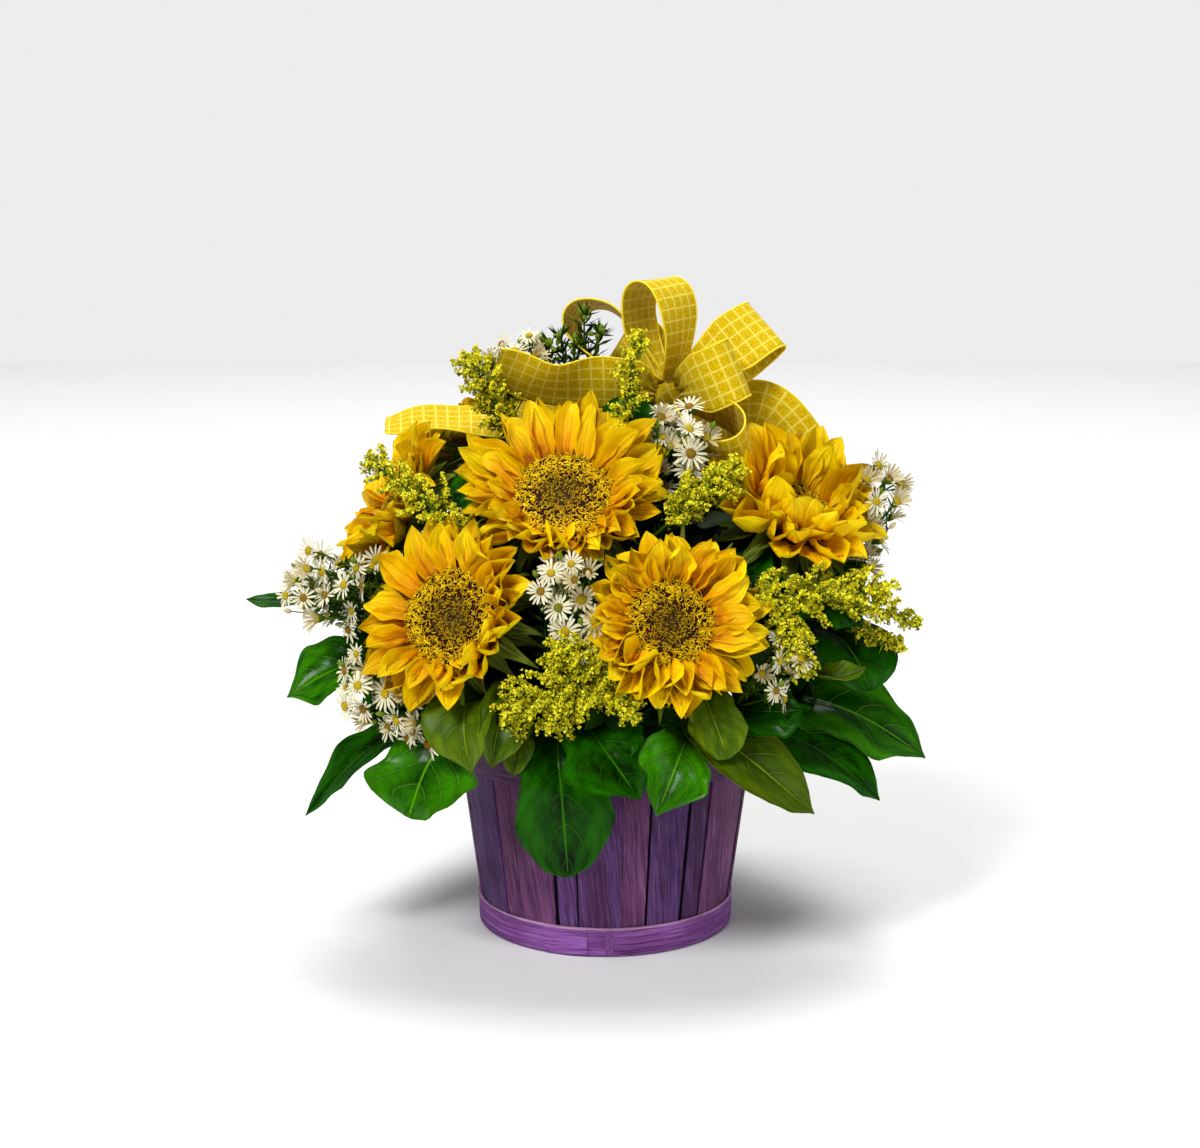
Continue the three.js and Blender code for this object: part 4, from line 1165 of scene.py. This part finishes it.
def leaf_turn(rng, ahead, face=None):
    """Axes for a small leaf that points ahead, with its face turned up or at random."""
    face = unit(rng.normal(size=3)) if face is None else face
    side = unit(np.cross(face, ahead))
    return np.array([ahead, side, np.cross(ahead, side)])


for number, (name, (start, end, radius)) in enumerate(ASTERS.items()):
    aster_spray(name, start, end, radius, 100 + number)


def bud_sprigs():
    """Unopened tips of aster, all needles and green buds, by the bow's left loop and two blooms."""
    rng = np.random.default_rng(90)
    bunch = Bunch("sprig", "sprig_dark", "sprig_pale", "aster_cream")
    for tip in ((-30, 14, 402), (-14, 16, 416), (-4, 12, 404), (-20, 10, 396), (-38, 14, 396),
                (10, -118, 262), (-36, -122, 246)):
        tip = np.array(tip, float)
        foot = tip + [6, 12, -46] + rng.normal(0, 4, 3)
        path = bow_path(foot, tip, (-3, 2, 2), 8)
        bunch.add(*tube(path, np.linspace(1.0, 0.6, 8), 5), "sprig")
        spots = path[rng.integers(1, 8, 60)]
        turns = np.array([leaf_turn(rng, unit(unit(rng.normal(size=3)) + UP * 0.8)) for _ in spots]) * 1.3
        half = rng.random(60) < 0.6
        bunch.copies(NEEDLE, spots[half], turns[half], "sprig_dark")
        bunch.copies(NEEDLE, spots[~half], turns[~half], "sprig")
        buds = tip + unit(rng.normal(size=(5, 3)) + UP) * rng.uniform(2, 7, (5, 1))
        bunch.copies(ASTER_BUD, buds, np.array([axes_facing(unit(b - tip)) for b in buds]), "sprig_pale")
    return bunch.make("bud_sprigs", "aster", "aster_top_left")


bud_sprigs()


# ---- goldenrod ----

# Each plume: where its stem runs from and to, how far its side branches reach, and how full its tip is.
GOLDENRODS = {
    "top_left": ((-70, -16, 352), (-86, -26, 386), 19, 0.9),
    "top": ((12, -52, 352), (20, -40, 404), 13, 0.7),
    "left": ((-92, -88, 288), (-150, -62, 326), 19, 0.7),
    "middle": ((48, -92, 302), (80, -82, 324), 19, 0.8),
    "low": ((2, -138, 204), (-56, -150, 184), 25, 0.8),
    "low_upper": ((0, -138, 212), (-28, -148, 222), 18, 0.9),
    "low_hanging": ((-8, -138, 202), (-30, -150, 178), 18, 0.9),
    "low_side": ((-2, -138, 198), (14, -146, 184), 15, 0.8),
    "right": ((104, -116, 250), (174, -84, 246), 24, 0.8),
    "right_low": ((116, -120, 236), (124, -122, 206), 16, 0.8),
    "right_tip": ((150, -84, 242), (204, -58, 220), 11, 0.4),
    "right_twig": ((172, -66, 216), (194, -60, 204), 6, 0.5),
    "back": ((-92, 112, 236), (-146, 100, 262), 22, 0.7),
}
# A floret: five small pointed lobes that open from one foot, or a closed bead.
FLORET = merge([
    (np.array([[0.15, 0, -0.5], [0.9, -0.6, 0.5], [0.9, 0.6, 0.5], [1.5, 0, 0.9]]) @ about_z(TURN * i / 5),
     [np.array([[0, 1, 2], [1, 3, 2]])])
    for i in range(5)
])
BEAD = (np.array([[1, 0, 0], [0, 1, 0.1], [-1, 0, 0], [0, -1, -0.1], [0.1, 0, 1.2], [0, 0, -1.1]]),
        np.array([[0, 1, 4], [1, 2, 4], [2, 3, 4], [3, 0, 4], [1, 0, 5], [2, 1, 5], [3, 2, 5], [0, 3, 5]]))


def stands_for(name):
    """A part of a spray stands for the same node as the whole of it."""
    return next(node for node in ("top_left", "top", "left", "middle", "low", "right", "back")
                if name.startswith(node))


def goldenrod(name, start, end, radius, tip_share, seed):
    """A feathery plume: side branches along a stem, crowded on their upper sides with florets."""
    rng = np.random.default_rng(seed)
    start, end = np.asarray(start, float), np.asarray(end, float)
    ahead = unit(end - start)
    foot = start - ahead * radius * 0.9 - unit(start - CROWN_HEART) * 10
    path = bezier(foot, start, end - ahead * 6 + UP * 4, end + ahead * radius * 0.3, 14)
    bunch = Bunch("sprig", "sprig_pale", "rod_yellow", "rod_gold", "rod_lime", "rod_olive")
    bunch.add(*tube(path, np.linspace(1.4, 0.6, 14), 5), "sprig")
    _, one, two = carried_frames(path)
    spots, up_sides = [], []
    count = int(10 + 1.5 * radius)
    for i in range(count):
        t = 0.16 + 0.84 * i / (count - 1)
        at = point_at(path, t)
        k = min(13, int(t * 13))
        turn = i * 2.4 + rng.uniform(-0.3, 0.3)
        out = math.cos(turn) * one[k] + math.sin(turn) * two[k]
        reach = radius * np.interp(t, [0.1, 0.35, 0.7, 1.0], [0.75, 1.0, 0.85, 0.55 * tip_share])
        reach *= rng.uniform(0.45, 1.05)
        side = unit(np.cross(out, ahead))
        tip = at + out * reach + ahead * reach * rng.uniform(0.35, 0.8) + UP * rng.uniform(-2, 3)
        twig = bow_path(at, tip, ahead * -reach * 0.16 + UP * 1.5, 7)
        bunch.add(*tube(twig, np.linspace(0.7, 0.35, 7), 3), "sprig")
        florets = max(6, int(reach * 1.05))
        for share in np.linspace(0.18, 1.03, florets):
            on = point_at(twig, share)
            for _ in range(5):
                push = unit(rng.normal(size=3) + UP * 0.8 + out * 0.3)
                spots.append(on + push * rng.uniform(0.6, 4.4) * (1.15 - 0.45 * share))
                up_sides.append(push)
    spots, up_sides = np.array(spots), np.array(up_sides)
    turns = np.array([axes_facing(up, rng.uniform(0, TURN)) for up in up_sides])
    turns = turns * rng.uniform(0.7, 1.15, len(turns))[:, None, None]
    # Florets that face up lean to the brighter yellows: painted light from above.
    shade = rng.random(len(spots)) + 0.12 * (up_sides @ UP)
    yellows = (("rod_olive", -1, 0.14), ("rod_lime", 0.14, 0.4), ("rod_gold", 0.4, 0.62),
               ("rod_yellow", 0.62, 2))
    for look, mine in in_bands(shade, yellows):
        opened = rng.random(len(spots)) < 0.45
        bunch.copies(FLORET, spots[mine & opened], turns[mine & opened], look)
        bunch.copies(BEAD, spots[mine & ~opened], turns[mine & ~opened], look)
    needles = np.array([path[k] for k in rng.integers(2, 12, 24)])
    bunch.copies(NEEDLE, needles, np.array([leaf_turn(rng, unit(rng.normal(size=3) + ahead * 0.4))
                                            for _ in needles]), "sprig_pale")
    return bunch.make(f"goldenrod_{name}", "goldenrod", f"goldenrod_{stands_for(name)}")


for number, (name, (start, end, radius, tip_share)) in enumerate(GOLDENRODS.items()):
    goldenrod(name, start, end, radius, tip_share, 130 + number)


# ---- the small leaves inside ----


def small_leaf():
    """A pointed leaf of sixteen triangles, folded along its middle."""
    points, _, faces = blade_sheet(30, 17, ([0, 0.2, 0.45, 0.75, 1], [0.1, 0.8, 1.0, 0.6, 0.04]),
                                   rise=0.15, arch=-0.7, cup=0.35, rows=5, columns=3)
    return points, faces


SHOOTS = 230
SHOOT_LEAVES = 20


def inner_shoots():
    """Leafy shoots that fan from the foam and fill the crown; their near-black leaves and twigs are partly
    painted shade.
    """
    rng = np.random.default_rng(7)
    leaves = Bunch("inner_dark", "inner_mid", "inner_light")
    twigs = Bunch("sprig_dark", "sprig")
    spots, turns = [], []
    for i in range(SHOOTS):
        height = (i + 0.5) / SHOOTS
        bearing = i * GOLDEN_ANGLE + rng.uniform(-0.2, 0.2)
        polar = math.acos(1 - 1.02 * height)
        out = np.array([math.sin(polar) * math.cos(bearing), math.sin(polar) * math.sin(bearing),
                        math.cos(polar)])
        tip = np.array([0, 0, 160.0]) + out * np.array([174, 128, 168]) * rng.uniform(0.66, 1.0)
        foot = np.array([out[0] * 52, out[1] * 52, FOAM_TOP + 1])
        path = bezier(foot, foot + UP * 40, (tip + foot) / 2 + UP * 18, tip, 10)
        twigs.add(*tube(path, np.linspace(1.8, 0.8, 10), 4), "sprig_dark" if i % 3 else "sprig")
        ahead, one, two = carried_frames(path)
        for j in range(SHOOT_LEAVES):
            t = 0.22 + 0.8 * j / SHOOT_LEAVES
            k = min(9, int(t * 9))
            turn = j * 2.2 + i
            aside = math.cos(turn) * one[k] + math.sin(turn) * two[k]
            spots.append(point_at(path, t))
            pointing = unit(aside + ahead[k] * 0.7 + rng.normal(0, 0.15, 3) + out * 0.3)
            turns.append(leaf_turn(rng, pointing, unit(out + UP * 0.5 + rng.normal(0, 0.3, 3)))
                         * rng.uniform(0.6, 1.15))
    spots, turns = np.array(spots), np.array(turns)
    shade = rng.random(len(spots))
    shape = small_leaf()
    greens = (("inner_dark", 0, 0.5), ("inner_mid", 0.5, 0.85), ("inner_light", 0.85, 1))
    for look, mine in in_bands(shade, greens):
        leaves.copies(shape, spots[mine], turns[mine], look)
    leaves.make("inner_leaves", "foliage", "inner_foliage")
    twigs.make("inner_twigs", "foliage", "inner_foliage")


inner_shoots()


# ---- the bow ----

KNOT = np.array([43.0, 5.0, 364.0])
KNOT_RADIUS = 10.0
LOOP_START = 11.2
RIBBON_WIDTH = 40.0
RIBBON_HALF_THICKNESS = 0.25
RIBBON_CORD_RADIUS = 0.75
# out is the way a loop leaves the knot, axis its width's way, and belly half of how far it opens.
LOOPS = {
    "top": dict(out=(-0.13, 0.07, 0.99), axis=(-0.60, -0.80, 0), length=78, belly=20.5),
    "left": dict(out=(-0.72, 0.42, 0.62), axis=(0, -1, 0.1), length=90, belly=21),
    "left_behind": dict(out=(-0.42, 0.62, 0.5), axis=(0.3, -0.2, 0.9), length=62, belly=14),
    "front": dict(out=(0.66, -0.6, 0.36), axis=(0.58, -0.28, -0.7), length=62, belly=17),
    "upper_right": dict(out=(0.76, 0.3, 0.50), axis=(0.6, -0.36, -0.7), length=84, belly=17),
    "low_right": dict(out=(0.56, -0.73, -0.39), axis=(0.40, 0.30, -0.87), length=83, belly=20),
}
# Each tail: the places it runs through, and its width's way at the knot and at its end.
TAILS = {
    "left": ([(10, -6, 373), (-34, -6, 373), (-74, -10, 385)], (0, -0.25, 0.95), (0.1, -0.7, 0.7)),
    "far_left": ([(10, 24, 352), (-50, 28, 342), (-100, 25, 346), (-150, 22, 342)],
                 (0, 0.6, 0.8), (-0.1, 0.95, 0.12)),
    "right": ([(78, 26, 350), (106, 23, 351), (126, 16, 334), (158, 2, 288)],
              (0, 0.3, 0.95), (0.72, 0.15, 0.6)),
}


def ribbon_strip(name, middle, across, share, node, waves=0.0, seed=0):
    """A length of ribbon: cloth with two faces, pleated where it is gathered, and corded edges."""
    rng = np.random.default_rng(seed)
    middle = np.asarray(middle, float)
    ahead = unit(np.gradient(middle, axis=0))
    across = unit(across - ahead * np.sum(across * ahead, 1, keepdims=True))
    normal = np.cross(ahead, across)
    steps = np.linalg.norm(np.diff(middle, axis=0), axis=1)
    along = np.concatenate([[0], np.cumsum(steps)]) / RIBBON_WIDTH
    v = np.linspace(-1, 1, 15)
    pleats = 3.2 * np.clip(1 - share, 0, 1)[:, None] ** 1.2 * np.cos(v * math.pi * 3.5)[None]
    shape = 0.9 * np.cos(along * 5 + rng.uniform(0, TURN))[:, None] * v[None]
    phase = rng.uniform(0, TURN)
    wavy = waves * np.sin(along[:, None] * 4.2 + v[None] * 0.8 + phase) * (0.4 + 0.6 * v[None])
    lift = pleats + shape * share[:, None] + wavy * share[:, None]
    half = 0.5 * RIBBON_WIDTH * share
    sheet = (middle[:, None] + across[:, None] * (half[:, None] * v[None])[..., None]
             + normal[:, None] * lift[..., None])
    shares = np.stack(np.broadcast_arrays((v[None] + 1) / 2, along[:, None]), -1).reshape(-1, 2)
    count = sheet.shape[0] * len(v)
    faces = grid_faces(len(middle), len(v))
    bunch = Bunch("ribbon", "ribbon_cord")
    both = np.concatenate([(sheet + normal[:, None] * d).reshape(-1, 3)
                           for d in (RIBBON_HALF_THICKNESS, -RIBBON_HALF_THICKNESS)])
    spread = shares / [1, along[-1]]
    halves = np.concatenate([spread * [0.46, 0.96] + [x, 0.02] for x in (0.02, 0.52)])
    ring = np.arange(0, count, len(v))
    ends = [np.stack([ring[:-1], ring[:-1] + count, ring[1:] + count, ring[1:]], -1),
            np.stack([ring[1:], ring[1:] + count, ring[:-1] + count, ring[:-1]], -1) + len(v) - 1]
    bunch.add(both, [faces[:, ::-1], faces + count] + ends, "ribbon", np.concatenate([shares] * 2), halves)
    for edge in (0, -1):
        bunch.add(*tube(sheet[:, edge], RIBBON_CORD_RADIUS, 5), "ribbon_cord")
    return bunch.make(name, "ribbon", node, keep_bake=True)


def bow_loop(name, out, axis, length, belly):
    """A loop that leaves the knot gathered, opens to its full width and comes back."""
    out, axis = unit(out), np.asarray(axis, float)
    across = unit(axis - out * (axis @ out))
    side = np.cross(across, out)
    t = np.linspace(0, 1, 56)
    turn = TURN * t
    reach = LOOP_START + (length - LOOP_START) * (1 - np.cos(turn)) / 2
    bulge = belly * np.sin(turn) * np.sin(turn / 2) ** 0.8 + 0.9 * np.cos(turn / 2)
    middle = KNOT + reach[:, None] * out + bulge[:, None] * side
    share = 0.2 + 0.8 * np.minimum(1, 3.6 * np.minimum(t, 1 - t)) ** 0.9
    return ribbon_strip(f"bow_loop_{name}", middle, np.broadcast_to(across, middle.shape), share,
                        "bow_loop_left" if name == "left_behind" else f"bow_loop_{name}",
                        waves=0.7, seed=len(name))


def bow_tail(name, through, first_axis, last_axis):
    """A free end that runs out from the knot in slow waves."""
    start = KNOT + unit(np.array(through[0], float) - KNOT) * LOOP_START
    points = np.array([start, *through], float)
    padded = np.concatenate([[2 * points[0] - points[1]], points, [2 * points[-1] - points[-2]]])
    path = []
    for a, b, c, d in zip(padded, padded[1:], padded[2:], padded[3:]):
        t = np.linspace(0, 1, 12, endpoint=False)[:, None]
        path.append(0.5 * (2 * b + (c - a) * t + (2 * a - 5 * b + 4 * c - d) * t**2
                           + (3 * b - a - 3 * c + d) * t**3))
    path = np.concatenate([*path, points[-1:]])
    t = np.linspace(0, 1, len(path))
    across = np.asarray(first_axis) * (1 - t[:, None]) + np.asarray(last_axis) * t[:, None]
    share = 0.2 + 0.8 * np.minimum(1, 4 * t) ** 0.9
    return ribbon_strip(f"bow_tail_{name}", path, across, share, f"bow_tail_{name}", waves=3.0,
                        seed=20 + len(name))


def bow_knot():
    """A gathered band wound round the middle of the bow."""
    rows, columns = 17, 40
    polar = np.linspace(0.25, math.pi - 0.25, rows)[:, None]
    turn = (np.arange(columns) * TURN / columns)[None]
    radius = KNOT_RADIUS * (1 + 0.06 * np.cos(polar * 14) + 0.03 * np.cos(turn * 5))
    points = np.stack([radius * np.cos(polar) * 1.05 + 0 * turn, radius * np.sin(polar) * np.cos(turn),
                       radius * np.sin(polar) * np.sin(turn)], -1).reshape(-1, 3)
    shares = np.stack(np.broadcast_arrays(polar / math.pi, turn / TURN * 1.6), -1).reshape(-1, 2)
    bunch = Bunch("ribbon")
    lean = axes_facing((0.75, -0.15, 0.45))
    bunch.add(KNOT + points[:, [1, 2, 0]] @ lean, grid_faces(rows, columns, closed=True), "ribbon", shares)
    return bunch.make("bow_knot", "ribbon", "bow_knot")


for name, loop in LOOPS.items():
    bow_loop(name, **loop)
for name, (through, first_axis, last_axis) in TAILS.items():
    bow_tail(name, through, first_axis, last_axis)
bow_knot()


# ---- the basket ----


def select_where(piece, test):
    """Selects in edit mode the vertices whose place passes the test."""
    bpy.ops.mesh.select_all(action="DESELECT")
    bpy.ops.object.mode_set(mode="OBJECT")
    for vertex in piece.data.vertices:
        vertex.select = test(vertex.co)
    bpy.ops.object.mode_set(mode="EDIT")


def wooden_strip(name, radius, foot, top, start, sweep, thickness, flare=WALL_FLARE, steps=3):
    """A thin slat bent round the basket: a rectangle spun about Z, widened at its top, its edges eased."""
    bpy.ops.object.select_all(action="DESELECT")
    bpy.ops.mesh.primitive_plane_add(size=1, location=(0, 0, 0))
    piece = bpy.context.object
    piece.name = name
    bpy.ops.object.mode_set(mode="EDIT")
    bpy.ops.mesh.select_all(action="SELECT")
    bpy.ops.transform.resize(value=(thickness, top - foot, 1))
    bpy.ops.transform.rotate(value=math.radians(-90), orient_axis="X", center_override=(0, 0, 0))
    bpy.ops.transform.translate(value=(radius + thickness / 2, 0, (top + foot) / 2))
    bpy.ops.transform.rotate(value=-start, orient_axis="Z", center_override=(0, 0, 0))
    bpy.ops.mesh.spin(steps=steps, angle=sweep, center=(0, 0, 0), axis=(0, 0, 1))
    middle = (top + foot) / 2
    select_where(piece, lambda co: co.z > middle)
    grow = (radius + flare * (top - foot)) / radius
    bpy.ops.transform.resize(value=(grow, grow, 1), center_override=(0, 0, 0))
    bpy.ops.mesh.select_all(action="SELECT")
    bpy.ops.mesh.remove_doubles(threshold=0.00001)
    bpy.ops.mesh.normals_make_consistent(inside=False)
    bpy.ops.object.mode_set(mode="OBJECT")
    bevel = piece.modifiers.new("eased_edges", "BEVEL")
    bevel.width = thickness * 0.28
    bevel.segments = 2
    bevel.limit_method = "ANGLE"
    bevel.angle_limit = math.radians(40)
    bpy.ops.object.modifier_apply(modifier=bevel.name)
    bpy.ops.object.transform_apply(location=True, rotation=True, scale=True)
    bpy.ops.object.shade_smooth_by_angle(angle=math.radians(35))
    return piece


def map_grain(piece, number, upright):
    """Lays the grain's map in centimetres: up a stave, or round a hoop."""
    mesh = piece.data
    for layer in list(mesh.uv_layers):
        mesh.uv_layers.remove(layer)
    layer = mesh.uv_layers.new(name=MAP_NAME)
    corners = np.empty(len(mesh.loops), int)
    mesh.loops.foreach_get("vertex_index", corners)
    places = np.empty(len(mesh.vertices) * 3)
    mesh.vertices.foreach_get("co", places)
    x, y, z = places.reshape(-1, 3)[corners].T * CM
    bearing = np.arctan2(y, x)
    middle = math.atan2(y.mean(), x.mean())
    round_it = ((bearing - middle + math.pi) % TURN + middle) * np.hypot(x, y).mean()
    depth = (np.hypot(x, y) - np.hypot(x, y).mean()) * 0.7
    grain = round_it if upright else z
    pair = (grain + depth + GRAIN_OFFSET, z if upright else round_it)
    across = pair[0] % 90 + number * GRAIN_JUMP
    layer.uv.foreach_set("vector", np.stack([across, pair[1]], -1).ravel())


def join(pieces, name, look, slot, *nodes):
    bpy.ops.object.select_all(action="DESELECT")
    for piece in pieces:
        piece.data.materials.clear()
        # The backing takes the near-black finish that paints the shadow in the gaps.
        piece.data.materials.append(LOOKS["stave_gap" if piece.name == "backing" else look])
        piece.select_set(True)
    bpy.context.view_layer.objects.active = pieces[0]
    if len(pieces) > 1:
        bpy.ops.object.join()
    joined = bpy.context.view_layer.objects.active
    joined.name = name
    joined.select_set(False)
    return settle(joined, slot, *nodes)


STAVE_PAIRS = 13
WIDE_STAVE_STEP = 0.0009
BACKING_STEP = 0.0016
RIM_HOOP_GAP = 0.0021
LAP_SWEEP = 0.34
BACKING_NUMBER, RING_NUMBER = 40, 60


def staves():
    """Thin splints in pairs: a wide one in front, and a narrow one that shows between two of them."""
    rng = np.random.default_rng(3)
    made = []
    for i in range(STAVE_PAIRS):
        wide = rng.uniform(0.56, 0.70)
        start = -(i + rng.uniform(-0.06, 0.06)) / STAVE_PAIRS * TURN
        for narrow, share in ((0, wide), (1, 0.99 - wide)):
            gap = rng.uniform(0.008, 0.020)
            sweep = share / STAVE_PAIRS * TURN - gap * (1 - narrow)
            radius = WALL_FOOT_RADIUS + (0.0 if narrow else WIDE_STAVE_STEP) + rng.uniform(0, 0.0004)
            top = BASKET_HEIGHT - rng.uniform(0, 0.002)
            stave = wooden_strip(f"stave_{i}_{narrow}", radius, 0.0008, top, start, sweep,
                                 STAVE_THICKNESS, steps=4)
            map_grain(stave, 2 * i + narrow + 1, upright=True)
            made.append(stave)
            start -= sweep + gap * (1 - narrow)
    # The near-black backing paints the shadow in the gaps between the staves.
    backing = wooden_strip("backing", WALL_FOOT_RADIUS - BACKING_STEP, 0.001, BASKET_HEIGHT - 0.003,
                           0, TURN, STAVE_THICKNESS, steps=64)
    map_grain(backing, BACKING_NUMBER, upright=True)
    made.append(backing)
    return join(made, "basket_staves", "stave", "basket_wood", "basket_staves")


def hoop(name, radius, foot, top, thickness, flare, lap_at):
    """A splint bent into a ring round the staves, with its lapped end at a bearing in degrees."""
    ring = wooden_strip(name, radius, foot, top, 0.0, TURN, thickness, flare, steps=96)
    map_grain(ring, RING_NUMBER, upright=False)
    lap = wooden_strip(f"{name}_lap", radius + thickness, foot + 0.0004, top - 0.0006,
                       math.radians(lap_at), LAP_SWEEP, thickness * 0.7, flare, steps=12)
    map_grain(lap, RING_NUMBER + 1, upright=False)
    return join([ring, lap], f"basket_{name}", name, "basket_band", f"basket_{name}")


staves()
hoop("rim_hoop", WALL_FOOT_RADIUS + WALL_FLARE * RIM_HOOP_FOOT + RIM_HOOP_GAP, RIM_HOOP_FOOT,
     RIM_HOOP_TOP, 0.0014, WALL_FLARE, lap_at=200)
hoop("foot_band", FOOT_BAND_RADIUS, FOOT_BAND_FOOT, FOOT_BAND_TOP, 0.0012, 0.03, lap_at=262)
for node, look, slot in (("floral_foam", "foam", "foam"), ("basket_floor", "stave", "basket_wood")):
    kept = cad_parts[node]
    kept.data.materials.clear()
    kept.data.materials.append(LOOKS[look])


# ---- floor ----


def place_floor():
    bpy.ops.mesh.primitive_plane_add(size=6, location=(0, 0, -0.0005))
    floor = bpy.context.object
    floor.name = "floor"
    finish = Finish("pale_floor", roughness=0.9)
    where = finish.flow(finish.node("ShaderNodeTexCoord"), 3)
    speck = finish.noise(where, 30.0, 2.0)
    finish.feed("Base Color", finish.blend(speck, (0.84, 0.84, 0.84), (0.88, 0.88, 0.88)))
    floor.data.materials.append(finish.material)


place_floor()
